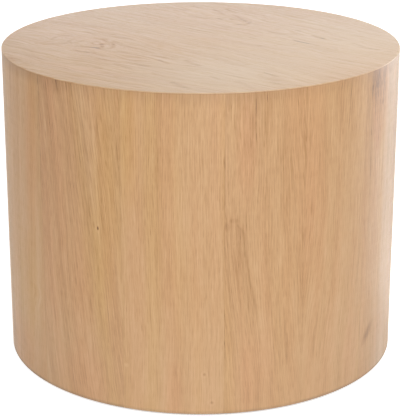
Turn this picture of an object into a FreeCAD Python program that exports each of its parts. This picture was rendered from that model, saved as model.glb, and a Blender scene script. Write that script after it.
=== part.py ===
import FreeCAD, Part
import os

import Sketcher

# Drum side table: a hollow cylinder of bending plywood wrapped round a top panel, two rings
# and a cage of battens, veneered all over, standing on four levelling feet.
# Millimetres, +Z up. The origin is on the floor, at the middle of the drum. The front is -Y.

SIZES = {
    # finished drum
    "drum_diameter": 500.0,
    "drum_height": 396.0,
    "floor_gap": 3.0,
    "top_arris_radius": 0.7,
    "lower_arris": 0.5,
    # veneer
    "veneer_thickness": 0.9,
    "backing_thickness": 0.6,
    "narrow_leaf_width": 99.0,
    "narrow_leaf_count": 6,
    "wide_leaf_count": 8,
    "first_joint_angle": 6.3,
    "top_joint_angle": -50.0,
    "top_joint_offset": 10.0,
    # wall and frame
    "sheet_thickness": 5.0,
    "sheet_joint_gap": 0.2,
    "glue_line": 0.2,
    "top_panel_thickness": 18.0,
    "ring_thickness": 18.0,
    "middle_ring_width": 50.0,
    "base_ring_width": 85.0,
    "batten_count": 8,
    "batten_width": 42.0,
    "batten_depth": 22.0,
    "notch_clearance": 0.2,
    # screws that hold the battens
    "screw_diameter": 4.5,
    "screw_head_diameter": 9.0,
    "screw_length": 50.0,
    "screw_point_length": 6.0,
    "fit_clearance": 0.1,
    # levelling feet
    "foot_count": 4,
    "foot_inset": 48.5,
    "pad_diameter": 40.0,
    "pad_height": 8.0,
    "pad_edge": 1.5,
    "pad_floor_thickness": 2.6,
    "button_diameter": 16.0,
    "button_thickness": 2.0,
    "neck_length": 1.2,
    "hex_across_flats": 13.0,
    "hex_height": 6.0,
    "stud_diameter": 8.0,
    "stud_length": 27.0,
    "stud_end_chamfer": 1.0,
    "thread_clearance": 0.08,
    "running_gap": 0.3,
    "t_nut_flange_diameter": 22.0,
    "t_nut_flange_thickness": 1.5,
    "t_nut_barrel_diameter": 10.0,
    "t_nut_barrel_length": 11.0,
}

doc = FreeCAD.newDocument("DrumSideTable")
sheet = doc.addObject("Spreadsheet::Sheet", "Sizes")
for row, (alias, number) in enumerate(SIZES.items(), start=1):
    sheet.set(f"A{row}", alias.replace("_", " "))
    sheet.set(f"B{row}", str(number))
    sheet.setAlias(f"B{row}", alias)
doc.recompute()

# Radii that follow from the driving sizes. A glue line parts each layer of the wall from the next.
OUTER = "(Sizes.drum_diameter / 2)"
LEAF_INNER = f"({OUTER} - Sizes.veneer_thickness)"
OUTER_SHEET_OUTER = f"({LEAF_INNER} - Sizes.glue_line)"
OUTER_SHEET_INNER = f"({OUTER_SHEET_OUTER} - Sizes.sheet_thickness)"
INNER_SHEET_OUTER = f"({OUTER_SHEET_INNER} - Sizes.glue_line)"
INNER_SHEET_INNER = f"({INNER_SHEET_OUTER} - Sizes.sheet_thickness)"
CORE = f"({INNER_SHEET_INNER} - Sizes.glue_line)"
BATTEN_INNER = f"({CORE} - Sizes.batten_depth)"
SCREW_CIRCLE = f"({CORE} - Sizes.batten_depth / 2)"
FOOT_CIRCLE = f"({CORE} - Sizes.foot_inset)"
STUD_RADIUS = "(Sizes.stud_diameter / 2)"

# Levels, from the floor up. The foot's own stack sets where the base ring lies.
BUTTON_BOTTOM = "(Sizes.pad_floor_thickness + Sizes.running_gap)"
BUTTON_TOP = f"({BUTTON_BOTTOM} + Sizes.button_thickness)"
POCKET_TOP = f"({BUTTON_TOP} + Sizes.running_gap)"
HEX_BOTTOM = "(Sizes.pad_height + Sizes.neck_length)"
HEX_TOP = f"({HEX_BOTTOM} + Sizes.hex_height)"
STUD_TOP = f"({HEX_TOP} + Sizes.stud_length)"
FLANGE_BOTTOM = f"({HEX_TOP} + Sizes.running_gap)"
BASE_BOTTOM = f"({FLANGE_BOTTOM} + Sizes.t_nut_flange_thickness)"
BASE_TOP = f"({BASE_BOTTOM} + Sizes.ring_thickness)"
WALL_BOTTOM = "Sizes.floor_gap"
TOP = "(Sizes.floor_gap + Sizes.drum_height)"
WALL_TOP = f"({TOP} - Sizes.veneer_thickness)"
PANEL_BOTTOM = f"({WALL_TOP} - Sizes.top_panel_thickness)"
BATTEN_TOP = f"({PANEL_BOTTOM} - Sizes.backing_thickness)"
MIDDLE_BOTTOM = f"(({BASE_TOP} + {BATTEN_TOP} - Sizes.ring_thickness) / 2)"
MIDDLE_TOP = f"({MIDDLE_BOTTOM} + Sizes.ring_thickness)"

# Angles, in degrees round the drum.
BATTEN_STEP = "(360 / Sizes.batten_count)"
NARROW_LEAF = f"(Sizes.narrow_leaf_width / {OUTER} * 180 / pi)"
WIDE_LEAF = f"((360 - Sizes.narrow_leaf_count * {NARROW_LEAF}) / Sizes.wide_leaf_count)"
FRONT = -90

# Past the edge of a piece that is being cut, so that the cut is clean.
OVERCUT = 5

sub_parts = []


def value(expression):
    """Number that an expression on the sheet's cells comes to."""
    return float(sheet.evalExpression(str(expression)))


def count(alias):
    """Whole number that a cell holds."""
    return int(round(value("Sizes." + alias)))


def new_body(label):
    """Empty body for one sub-part, which becomes one file of the same name."""
    body = doc.addObject("PartDesign::Body", label)
    body.Label = label
    sub_parts.append(body)
    return body


def origin_item(body, role):
    """Plane or axis of the body's own origin."""
    return next(item for item in body.Origin.OriginFeatures if item.Role == role)


def new_sketch(body, name, role, level=None):
    """Sketch on one of the body's origin planes, raised to a level where one is given."""
    sketch = body.newObject("Sketcher::SketchObject", name)
    sketch.AttachmentSupport = [(origin_item(body, role), "")]
    sketch.MapMode = "FlatFace"
    if level:
        sketch.setExpression("AttachmentOffset.Base.z", level)
    return sketch


def bind(sketch, kind, *numbers_and_expression):
    """Adds a constraint whose value is an expression."""
    *numbers, expression = numbers_and_expression
    index = sketch.addConstraint(Sketcher.Constraint(kind, *numbers, value(expression)))
    sketch.setExpression(f"Constraints[{index}]", str(expression))


def outline(sketch, corners):
    """Closed outline of straight edges, each corner an (across, up) pair of expressions."""
    points = [FreeCAD.Vector(value(across), value(up), 0) for across, up in corners]
    for start, end in zip(points, points[1:] + points[:1]):
        sketch.addGeometry(Part.LineSegment(start, end), False)
    for edge, (across, up) in enumerate(corners):
        following = (edge + 1) % len(corners)
        sketch.addConstraint(Sketcher.Constraint("Coincident", edge, 2, following, 1))
        bind(sketch, "DistanceX", -1, 1, edge, 1, across)
        bind(sketch, "DistanceY", -1, 1, edge, 1, up)


def turned(body, name, kind, corners, axis_at="0", angle="360"):
    """Revolution or Groove of an outline about an upright line that stands axis_at from the middle.

    The corners are (radius from that line, level) pairs.
    """
    sketch = new_sketch(body, name + "_outline", "XZ_Plane")
    outline(sketch, [(f"{axis_at} + {radius}", level) for radius, level in corners])
    foot = FreeCAD.Vector(value(axis_at), 0, 0)
    line = sketch.addGeometry(Part.LineSegment(foot, foot + FreeCAD.Vector(0, OVERCUT, 0)), True)
    sketch.addConstraint(Sketcher.Constraint("Vertical", line))
    bind(sketch, "DistanceX", -1, 1, line, 1, axis_at)
    bind(sketch, "DistanceY", -1, 1, line, 1, "0")
    bind(sketch, "DistanceY", line, 1, line, 2, str(OVERCUT))
    feature = body.newObject("PartDesign::" + kind, name)
    feature.Profile = sketch
    feature.ReferenceAxis = (sketch, ["Axis0"])
    feature.setExpression("Angle", angle)
    return feature


def round_the_drum(body, feature, copies):
    """Repeats a feature at equal steps round the drum's axis."""
    pattern = body.newObject("PartDesign::PolarPattern", feature.Name + "_ring")
    pattern.Originals = [feature]
    pattern.Axis = (origin_item(body, "Z_Axis"), [""])
    pattern.Angle = 360
    pattern.setExpression("Occurrences", copies)
    body.Tip = pattern
    return pattern


def turn_body(body, angle):
    """Turns a whole body about the drum's axis."""
    body.Placement = FreeCAD.Placement(FreeCAD.Vector(0, 0, 0), FreeCAD.Rotation(FreeCAD.Vector(0, 0, 1), 1))
    body.setExpression("Placement.Rotation.Angle", angle)


def upright_ring(label, inner, outer, bottom, top, angle="360", start=None):
    """Ring or part of a ring with a rectangular section."""
    body = new_body(label)
    corners = [(inner, bottom), (outer, bottom), (outer, top), (inner, top)]
    turned(body, label + "_turning", "Revolution", corners, angle=angle)
    if start:
        turn_body(body, start)
    return body


# ---- veneer on the wall -------------------------------------------------------------------

def side_leaf(number, start, angle):
    """One upright leaf of face veneer, with its lower outer arris eased."""
    body = new_body(f"side_veneer_leaf_{number}")
    corners = [
        (LEAF_INNER, WALL_BOTTOM),
        (f"{OUTER} - Sizes.lower_arris", WALL_BOTTOM),
        (OUTER, f"{WALL_BOTTOM} + Sizes.lower_arris"),
        (OUTER, WALL_TOP),
        (LEAF_INNER, WALL_TOP),
    ]
    turned(body, f"leaf_{number}_strip", "Revolution", corners, angle=angle)
    turn_body(body, f"{start} + {FRONT}")


def side_leaves():
    """Narrow leaves from the first joint on, then wide leaves back round to it."""
    narrow = count("narrow_leaf_count")
    for index in range(narrow):
        side_leaf(index + 1, f"Sizes.first_joint_angle + {index} * {NARROW_LEAF}", NARROW_LEAF)
    wide_start = f"Sizes.first_joint_angle + {narrow} * {NARROW_LEAF}"
    for index in range(count("wide_leaf_count")):
        side_leaf(narrow + index + 1, f"{wide_start} + {index} * {WIDE_LEAF}", WIDE_LEAF)


# ---- veneer on the top --------------------------------------------------------------------

def top_leaf(label, beyond_joint):
    """One leaf of the top's face veneer: the disc on one side of the joint, its edge rounded."""
    body = new_body(label)
    sketch = new_sketch(body, label + "_outline", "XY_Plane", WALL_TOP)
    radius = value(OUTER)
    offset = value("Sizes.top_joint_offset")
    reach = (radius ** 2 - offset ** 2) ** 0.5
    east = FreeCAD.Vector(reach, offset, 0)
    west = FreeCAD.Vector(-reach, offset, 0)
    side = 1 if beyond_joint else -1
    arc = Part.Arc(east, FreeCAD.Vector(0, side * radius, 0), west)
    sketch.addGeometry(arc, False)
    sketch.addGeometry(Part.LineSegment(west, east), False)
    start, end = (1, 2) if beyond_joint else (2, 1)
    sketch.addConstraint(Sketcher.Constraint("Coincident", 0, end, 1, 1))
    sketch.addConstraint(Sketcher.Constraint("Coincident", 1, 2, 0, start))
    sketch.addConstraint(Sketcher.Constraint("Coincident", 0, 3, -1, 1))
    sketch.addConstraint(Sketcher.Constraint("Horizontal", 1))
    bind(sketch, "Radius", 0, OUTER)
    bind(sketch, "DistanceY", -1, 1, 1, 1, "Sizes.top_joint_offset")
    pad = body.newObject("PartDesign::Pad", label + "_sheet")
    pad.Profile = sketch
    pad.setExpression("Length", "Sizes.veneer_thickness")
    doc.recompute()
    rim = [
        f"Edge{number}"
        for number, edge in enumerate(pad.Shape.Edges, start=1)
        if isinstance(edge.Curve, Part.Circle) and abs(edge.CenterOfMass.z - value(TOP)) < 1e-6
    ]
    arris = body.newObject("PartDesign::Fillet", label + "_arris")
    arris.Base = (pad, rim)
    arris.setExpression("Radius", "min(Sizes.top_arris_radius; 0.9 * Sizes.veneer_thickness)")
    turn_body(body, "Sizes.top_joint_angle")


# ---- panels, rings and wall ---------------------------------------------------------------

def screw_outline(head_level, point_level, direction, clearance="0"):
    """Half section of a countersunk wood screw, or of its hole where a clearance is given.

    The direction is 1 for a screw driven upwards and -1 for one driven downwards.
    """
    head = f"(Sizes.screw_head_diameter / 2 + {clearance})"
    shank = f"(Sizes.screw_diameter / 2 + {clearance})"
    under_head = f"{head_level} + {direction} * (Sizes.screw_head_diameter - Sizes.screw_diameter) / 2"
    shoulder = f"{point_level} - {direction} * Sizes.screw_point_length"
    return [
        ("0", head_level),
        (head, head_level),
        (shank, under_head),
        (shank, shoulder),
        ("0", point_level),
    ]


def plain_hole(radius, bottom, top):
    """Half section of a straight hole."""
    return [("0", bottom), (radius, bottom), (radius, top), ("0", top)]


SCREW_HOLE = "(Sizes.screw_diameter / 2 + Sizes.fit_clearance)"
TOP_SCREW_POINT = f"({WALL_TOP} - Sizes.screw_length)"
BASE_SCREW_POINT = f"({BASE_BOTTOM} + Sizes.screw_length)"


def countersunk_holes(body, head_level, far_level, direction):
    """Ring of countersunk clearance holes right through a panel."""
    past = f"({far_level} + {direction} * (Sizes.screw_point_length + {OVERCUT}))"
    corners = screw_outline(head_level, past, direction, "Sizes.fit_clearance")
    hole = turned(body, body.Label + "_screw_hole", "Groove", corners, axis_at=SCREW_CIRCLE)
    round_the_drum(body, hole, "Sizes.batten_count")


def top_panel():
    """Board under the top veneer. The wall is wrapped round its edge."""
    body = upright_ring("top_panel", "0", CORE, PANEL_BOTTOM, WALL_TOP)
    countersunk_holes(body, WALL_TOP, PANEL_BOTTOM, -1)


def top_backing_veneer():
    """Plain veneer under the top panel, which keeps the panel from cupping."""
    body = upright_ring("top_backing_veneer", "0", CORE, BATTEN_TOP, PANEL_BOTTOM)
    corners = plain_hole(SCREW_HOLE, f"{BATTEN_TOP} - {OVERCUT}", f"{PANEL_BOTTOM} + {OVERCUT}")
    hole = turned(body, "backing_screw_hole", "Groove", corners, axis_at=SCREW_CIRCLE)
    round_the_drum(body, hole, "Sizes.batten_count")


def middle_ring():
    """Rib half way up, notched for the battens that run past it."""
    body = upright_ring("middle_ring", f"{CORE} - Sizes.middle_ring_width", CORE, MIDDLE_BOTTOM, MIDDLE_TOP)
    sketch = new_sketch(body, "batten_notch_outline", "XY_Plane", MIDDLE_BOTTOM)
    inner = f"{BATTEN_INNER} - Sizes.notch_clearance"
    outer = f"{CORE} + {OVERCUT}"
    half = "(Sizes.batten_width / 2 + Sizes.notch_clearance)"
    outline(sketch, [(inner, f"-{half}"), (outer, f"-{half}"), (outer, half), (inner, half)])
    notch = body.newObject("PartDesign::Pocket", "batten_notch")
    notch.Profile = sketch
    notch.Midplane = True
    notch.setExpression("Length", "2 * Sizes.ring_thickness + 2")
    round_the_drum(body, notch, "Sizes.batten_count")


def base_ring():
    """Ring that closes the wall's foot and carries the levelling feet."""
    body = upright_ring("base_ring", f"{CORE} - Sizes.base_ring_width", CORE, BASE_BOTTOM, BASE_TOP)
    countersunk_holes(body, BASE_BOTTOM, BASE_TOP, 1)
    radius = "(Sizes.t_nut_barrel_diameter / 2 + Sizes.fit_clearance)"
    corners = plain_hole(radius, f"{BASE_BOTTOM} - {OVERCUT}", f"{BASE_TOP} + {OVERCUT}")
    hole = turned(body, "t_nut_hole", "Groove", corners, axis_at=FOOT_CIRCLE)
    round_the_drum(body, hole, "Sizes.foot_count")


def wall_sheet(label, inner, outer, joint_step):
    """Sheet of bending plywood rolled once round, its butt joint over the middle of a batten."""
    gap = f"(Sizes.sheet_joint_gap / {inner} * 180 / pi)"
    joint = f"{BATTEN_STEP} * {joint_step} + {gap} / 2"
    upright_ring(label, inner, outer, WALL_BOTTOM, WALL_TOP, angle=f"360 - {gap}", start=joint)


def batten(number):
    """Upright between the base ring and the top, its outer face planed to the wall's curve."""
    body = new_body(f"batten_{number}")
    sketch = new_sketch(body, f"batten_{number}_outline", "XY_Plane", BASE_TOP)
    core = value(CORE)
    inner = value(BATTEN_INNER)
    half = value("Sizes.batten_width / 2")
    reach = (core ** 2 - half ** 2) ** 0.5
    corner = [FreeCAD.Vector(*xy, 0) for xy in ((inner, -half), (reach, -half), (reach, half), (inner, half))]
    sketch.addGeometry(Part.LineSegment(corner[0], corner[1]), False)
    sketch.addGeometry(Part.Arc(corner[1], FreeCAD.Vector(core, 0, 0), corner[2]), False)
    sketch.addGeometry(Part.LineSegment(corner[2], corner[3]), False)
    sketch.addGeometry(Part.LineSegment(corner[3], corner[0]), False)
    for edge in range(4):
        sketch.addConstraint(Sketcher.Constraint("Coincident", edge, 2, (edge + 1) % 4, 1))
    sketch.addConstraint(Sketcher.Constraint("Coincident", 1, 3, -1, 1))
    sketch.addConstraint(Sketcher.Constraint("Horizontal", 0))
    sketch.addConstraint(Sketcher.Constraint("Horizontal", 2))
    bind(sketch, "Radius", 1, CORE)
    bind(sketch, "DistanceX", -1, 1, 0, 1, BATTEN_INNER)
    bind(sketch, "DistanceX", -1, 1, 3, 1, BATTEN_INNER)
    bind(sketch, "DistanceY", -1, 1, 0, 1, "-Sizes.batten_width / 2")
    bind(sketch, "DistanceY", -1, 1, 2, 1, "Sizes.batten_width / 2")
    stick = body.newObject("PartDesign::Pad", f"batten_{number}_stick")
    stick.Profile = sketch
    stick.setExpression("Length", f"{BATTEN_TOP} - {BASE_TOP}")
    pilot_end = "Sizes.fit_clearance"
    upper = plain_hole(SCREW_HOLE, f"{TOP_SCREW_POINT} - {pilot_end}", f"{BATTEN_TOP} + {OVERCUT}")
    lower = plain_hole(SCREW_HOLE, f"{BASE_TOP} - {OVERCUT}", f"{BASE_SCREW_POINT} + {pilot_end}")
    turned(body, f"batten_{number}_upper_pilot", "Groove", upper, axis_at=SCREW_CIRCLE)
    turned(body, f"batten_{number}_lower_pilot", "Groove", lower, axis_at=SCREW_CIRCLE)
    turn_body(body, f"{BATTEN_STEP} * {number - 1}")


def screws(label, head_level, point_level, direction):
    """Ring of countersunk screws, one into each batten, each a solid of its own."""
    body = new_body(label)
    corners = screw_outline(head_level, point_level, direction)
    screw = turned(body, label + "_screw", "Revolution", corners, axis_at=SCREW_CIRCLE)
    round_the_drum(body, screw, "Sizes.batten_count")


# ---- levelling feet -----------------------------------------------------------------------

def t_nuts():
    """Flanged nuts pressed up into the base ring, one over each foot."""
    body = new_body("t_nuts")
    bore = f"({STUD_RADIUS} + Sizes.thread_clearance)"
    barrel = "(Sizes.t_nut_barrel_diameter / 2)"
    flange = "(Sizes.t_nut_flange_diameter / 2)"
    barrel_top = f"{BASE_BOTTOM} + Sizes.t_nut_barrel_length"
    corners = [
        (bore, FLANGE_BOTTOM),
        (flange, FLANGE_BOTTOM),
        (flange, BASE_BOTTOM),
        (barrel, BASE_BOTTOM),
        (barrel, barrel_top),
        (bore, barrel_top),
    ]
    nut = turned(body, "t_nut", "Revolution", corners, axis_at=FOOT_CIRCLE)
    round_the_drum(body, nut, "Sizes.foot_count")


def stand_at_foot(body, number):
    """Moves a body from the drum's axis out to its foot."""
    angle = f"({number} - 1) * 360 / Sizes.foot_count"
    body.setExpression("Placement.Base.x", f"{FOOT_CIRCLE} * cos({angle})")
    body.setExpression("Placement.Base.y", f"{FOOT_CIRCLE} * sin({angle})")


def foot_pad(number):
    """Nylon pad with a pocket that holds the stud's button and lets it turn."""
    body = new_body(f"foot_pad_{number}")
    radius = "(Sizes.pad_diameter / 2)"
    lip = f"({STUD_RADIUS} + Sizes.running_gap)"
    pocket = "(Sizes.button_diameter / 2 + Sizes.running_gap)"
    corners = [
        ("0", "0"),
        (f"{radius} - Sizes.pad_edge", "0"),
        (radius, "Sizes.pad_edge"),
        (radius, "Sizes.pad_floor_thickness + Sizes.pad_edge"),
        (f"({radius} + {pocket}) / 2", "Sizes.pad_height"),
        (lip, "Sizes.pad_height"),
        (lip, POCKET_TOP),
        (pocket, POCKET_TOP),
        (pocket, "Sizes.pad_floor_thickness"),
        ("0", "Sizes.pad_floor_thickness"),
    ]
    turned(body, f"pad_{number}_moulding", "Revolution", corners)
    stand_at_foot(body, number)


def foot_stud(number):
    """Threaded stud with a hexagon to turn it by and a button that the pad holds."""
    body = new_body(f"foot_stud_{number}")
    button = "(Sizes.button_diameter / 2)"
    tip = f"{STUD_RADIUS} - Sizes.stud_end_chamfer"
    corners = [
        ("0", BUTTON_BOTTOM),
        (button, BUTTON_BOTTOM),
        (button, BUTTON_TOP),
        (STUD_RADIUS, BUTTON_TOP),
        (STUD_RADIUS, f"{STUD_TOP} - Sizes.stud_end_chamfer"),
        (tip, STUD_TOP),
        ("0", STUD_TOP),
    ]
    turned(body, f"stud_{number}_turning", "Revolution", corners)
    sketch = new_sketch(body, f"stud_{number}_hex_outline", "XY_Plane", HEX_BOTTOM)
    corner = "Sizes.hex_across_flats / 2 / cos(30)"
    outline(sketch, [(f"{corner} * cos({60 * step})", f"{corner} * sin({60 * step})") for step in range(6)])
    hexagon = body.newObject("PartDesign::Pad", f"stud_{number}_hex")
    hexagon.Profile = sketch
    hexagon.setExpression("Length", "Sizes.hex_height")
    stand_at_foot(body, number)


# ---- assembly -----------------------------------------------------------------------------

side_leaves()
top_leaf("top_veneer_right_leaf", True)
top_leaf("top_veneer_left_leaf", False)
top_panel()
top_backing_veneer()
wall_sheet("outer_wall_sheet", OUTER_SHEET_INNER, OUTER_SHEET_OUTER, "0")
wall_sheet("inner_wall_sheet", INNER_SHEET_INNER, INNER_SHEET_OUTER, "floor(Sizes.batten_count / 2)")
middle_ring()
base_ring()
for batten_number in range(1, count("batten_count") + 1):
    batten(batten_number)
screws("top_screws", WALL_TOP, TOP_SCREW_POINT, -1)
screws("base_screws", BASE_BOTTOM, BASE_SCREW_POINT, 1)
t_nuts()
for foot_number in range(1, count("foot_count") + 1):
    foot_pad(foot_number)
    foot_stud(foot_number)
doc.recompute()

# Nothing is written unless every object is sound and every cut has removed material.
for item in doc.Objects:
    if "Invalid" in item.State or "Error" in item.State:
        raise RuntimeError(f"{item.Label} failed: {item.State}")
    if item.TypeId in ("PartDesign::Groove", "PartDesign::Pocket"):
        if item.Shape.Volume >= item.BaseFeature.Shape.Volume - 0.1:
            raise RuntimeError(f"{item.Label} cut nothing")
for body in sub_parts:
    if body.Shape.isNull() or not body.Shape.isValid():
        raise RuntimeError(f"{body.Label} has no sound shape")

os.makedirs("parts", exist_ok=True)
for body in sub_parts:
    body.Shape.exportStep(f"parts/{body.Label}.step")
    print(f"{body.Label}: {len(body.Shape.Solids)} solid(s), {body.Shape.Volume / 1000:.2f} cm3")
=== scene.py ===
# %% [markdown]
# # A drum side table in oak veneer
#
# The real table is a hollow drum. Two sheets of bending plywood are rolled round a frame of two rings and
# eight battens, a fibreboard panel closes the top, and leaves of oak veneer 0.9 mm thick cover all that
# shows. This lesson dresses that construction: it starts from the solids of the construction model, models
# again each piece that shows, and then mixes one finish for each kind of wood, metal and plastic.
#
# ## The construction model
#
# The solids come in as objects in metres, each at its place, so nothing has to be fitted.

# %% The solids
import math

import bpy
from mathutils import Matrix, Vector


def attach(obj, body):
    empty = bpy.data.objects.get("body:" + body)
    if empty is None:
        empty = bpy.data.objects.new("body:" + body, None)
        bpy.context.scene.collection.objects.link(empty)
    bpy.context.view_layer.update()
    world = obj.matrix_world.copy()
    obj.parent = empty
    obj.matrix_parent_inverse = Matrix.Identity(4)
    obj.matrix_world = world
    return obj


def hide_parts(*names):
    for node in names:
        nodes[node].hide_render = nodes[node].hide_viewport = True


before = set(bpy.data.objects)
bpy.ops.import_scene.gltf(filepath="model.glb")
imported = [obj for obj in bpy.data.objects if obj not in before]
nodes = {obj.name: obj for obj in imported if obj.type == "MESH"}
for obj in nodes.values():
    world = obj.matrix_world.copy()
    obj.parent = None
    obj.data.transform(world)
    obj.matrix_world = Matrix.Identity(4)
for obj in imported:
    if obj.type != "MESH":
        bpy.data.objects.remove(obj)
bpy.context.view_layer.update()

# %% [markdown]
# ## Working like a hand at the mesh
#
# Blender's mesh operators act on whatever is selected. A few helpers keep that safe: one leaves a single
# object selected, one adds a primitive with nothing else selected, one runs what is done in edit mode, and
# one selects vertices, edges or faces by a test of their place. A person does the same with clicks: pick
# the object, tab into edit mode, pick the edges, bevel.

# %% Selecting and adding
MM = 0.001
HAIR = 0.01 * MM
TOUCHING = 0.001 * MM


def pick_object(thing):
    """Leaves only this object selected and active."""
    bpy.ops.object.select_all(action="DESELECT")
    thing.select_set(True)
    bpy.context.view_layer.objects.active = thing


def add(operator, name, **settings):
    """Adds a primitive with nothing else selected, and names it."""
    bpy.ops.object.select_all(action="DESELECT")
    operator(**settings)
    made = bpy.context.object
    made.name = made.data.name = name
    return made


def apply_place():
    """Writes the picked object's place, turn and size into its mesh."""
    bpy.ops.object.transform_apply(location=True, rotation=True, scale=True)


def apply_modifier(thing, kind, **settings):
    """Gives the active object a modifier with these settings, and applies it at once."""
    modifier = thing.modifiers.new(kind, kind)
    for setting, value in settings.items():
        setattr(modifier, setting, value)
    bpy.ops.object.modifier_apply(modifier=modifier.name)


print("points nearer than", TOUCHING / MM, "mm count as one")


# %% Working in edit mode
def edit(*steps, level="EDGE"):
    """Runs the steps in edit mode on the active object."""
    bpy.ops.object.mode_set(mode="EDIT")
    bpy.ops.mesh.select_mode(type=level)
    for step in steps:
        step()
    bpy.ops.object.mode_set(mode="OBJECT")


def pick_parts(thing, level, test):
    """Selects the vertices, edges or faces whose points all pass the test."""
    edit(lambda: bpy.ops.mesh.select_all(action="DESELECT"), level=level)
    mesh = thing.data
    parts = {"VERT": mesh.vertices, "EDGE": mesh.edges, "FACE": mesh.polygons}[level]
    for part in parts:
        points = [part.co] if level == "VERT" else [mesh.vertices[i].co for i in part.vertices]
        part.select = all(test(point) for point in points)


def merge_doubles(distance=TOUCHING):
    """A step of an edit: merges the points that touch, and leaves the whole mesh selected."""
    bpy.ops.mesh.select_all(action="SELECT")
    bpy.ops.mesh.remove_doubles(threshold=distance)


def turn_whole(degrees):
    """A step of an edit: turns the whole mesh about the drum's axis."""
    bpy.ops.mesh.select_all(action="SELECT")
    bpy.ops.transform.rotate(value=math.radians(degrees), orient_axis="Z", center_override=(0, 0, 0))


def settle(thing, smooth_below=12):
    """Merges doubled points, turns the faces outwards and smooths the shading across the flatter edges."""
    pick_object(thing)
    edit(merge_doubles, lambda: bpy.ops.mesh.normals_make_consistent(inside=False))
    apply_place()
    bpy.ops.object.shade_smooth_by_angle(angle=math.radians(smooth_below))
    thing.data.materials.clear()
    return thing


print("helpers are ready")

# %% [markdown]
# ## The upright leaves
#
# The wall is clad in fourteen upright leaves, six narrow ones and eight wide ones, each jointed to the next
# with a straight cut from top to bottom. A leaf is a strip of the drum's skin, so it is drawn as its own
# small section, 0.9 mm deep and as tall as the wall, and spun round the drum's axis through the angle that
# its width takes up. Drawing the section first is easier than bending a flat strip, and it lets the lower
# corner be eased once, before the spin, as sandpaper would do it on the real one.
#
# Angles are measured as a person walks round the table: 0 is the front, and they grow towards the right.

# %% The leaves' widths and joints
RADIUS = 250 * MM
SKIN = 0.9 * MM
FLOOR_GAP = 3 * MM
TOP_FACE = 399 * MM
NARROW = math.degrees(99 * MM / RADIUS)
WIDE = (360 - 6 * NARROW) / 8
FIRST_JOINT = 6.3

leaf_joints = []
joint = FIRST_JOINT
for width in [NARROW] * 6 + [WIDE] * 8:
    leaf_joints.append((joint, joint + width))
    joint += width
print("joints at", [round(start, 1) for start, end in leaf_joints])


# %% One leaf
def upright_band(name, inner, outer, bottom, top, start, sweep, steps, ease_bottom, ease_top):
    """A band of the drum's wall from one angle on through another, its outer corners eased."""
    middle = ((inner + outer) / 2, 0, (bottom + top) / 2)
    band = add(bpy.ops.mesh.primitive_plane_add, name, size=1, location=middle, rotation=(math.pi / 2, 0, 0))
    band.scale = (outer - inner, top - bottom, 1)
    apply_place()
    for height, size in ((bottom, ease_bottom), (top, ease_top)):
        pick_parts(band, "VERT", lambda point: point.x > middle[0] and abs(point.z - height) < HAIR)
        edit(lambda: bpy.ops.mesh.bevel(offset=size, segments=3, affect="VERTICES"), level="VERT")
    edit(lambda: turn_whole(90 - start),
         lambda: bpy.ops.mesh.spin(steps=steps, angle=math.radians(sweep), center=(0, 0, 0), axis=(0, 0, -1)))
    return settle(band)


leaves = []
for number, (start, end) in enumerate(leaf_joints, 1):
    leaf = upright_band(f"oak_leaf_{number}", RADIUS - SKIN, RADIUS, FLOOR_GAP, TOP_FACE - SKIN,
                        start, end - start, 26, 0.5 * MM, 0.1 * MM)
    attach(leaf, "drum")
    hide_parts(f"side_veneer_leaf_{number}")
    leaves.append(leaf)
print(len(leaves), "leaves of", len(leaves[0].data.polygons), "faces")
angles = [math.degrees(math.atan2(v.co.x, -v.co.y)) for v in leaves[0].data.vertices]
print(leaves[0].name, "runs from", round(min(angles), 2), "to", round(max(angles), 2), "degrees")

# %% [markdown]
# ## The top's two leaves
#
# The top is covered last, so its veneer lies over the upright leaves' upper ends, and its edge is the thin
# line that runs round the rim. It is cut from two wide leaves, jointed a little off the middle along the
# grain. Each is the same disc with its rim rounded over, cut along the joint with a bisect that fills the
# cut, and that is also how the real one is trimmed: glued oversize, jointed, then routed flush.

# %% The disc, rounded over and cut
GRAIN_ANGLE = -50
JOINT_OFFSET = 10 * MM
RIM_ROUNDING = 0.7 * MM
across_grain = Vector((-math.sin(math.radians(GRAIN_ANGLE)), math.cos(math.radians(GRAIN_ANGLE)), 0))


def top_leaf(name, keep_right):
    """Half of the top's veneer, on one side of the joint."""
    disc = add(bpy.ops.mesh.primitive_cylinder_add, name, vertices=360, radius=RADIUS, depth=SKIN,
               location=(0, 0, TOP_FACE - SKIN / 2))
    apply_place()
    pick_parts(disc, "EDGE", lambda point: point.z > TOP_FACE - HAIR)
    edit(lambda: bpy.ops.mesh.bevel(offset=RIM_ROUNDING, segments=4),
         lambda: bpy.ops.mesh.select_all(action="SELECT"),
         lambda: bpy.ops.mesh.bisect(plane_co=across_grain * JOINT_OFFSET, plane_no=across_grain,
                                     use_fill=True, clear_inner=keep_right, clear_outer=not keep_right))
    settle(disc)
    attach(disc, "drum")
    return disc


top_right = top_leaf("oak_top_right", True)
top_left = top_leaf("oak_top_left", False)
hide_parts("top_veneer_right_leaf")
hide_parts("top_veneer_left_leaf")
print("top leaves have", len(top_right.data.polygons), "and", len(top_left.data.polygons), "faces")

# %% [markdown]
# ## The rolled wall
#
# Under the leaves are two sheets of bending plywood, each 5 mm thick and rolled once round, butted over a
# batten: the outer sheet's joint is on the right and the inner one's on the left. They show from below as
# two thin rings, and inside the drum. They are bands like the leaves, so the same section and spin make
# them, and only the last fraction of a degree is left open for the joint.

# %% Two wall sheets
SHEET = 5 * MM
GLUE = 0.2 * MM
OUTER_SHEET = (RADIUS - SKIN - GLUE - SHEET, RADIUS - SKIN - GLUE)
INNER_SHEET = (OUTER_SHEET[0] - GLUE - SHEET, OUTER_SHEET[0] - GLUE)
CORE = INNER_SHEET[0] - GLUE


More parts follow.
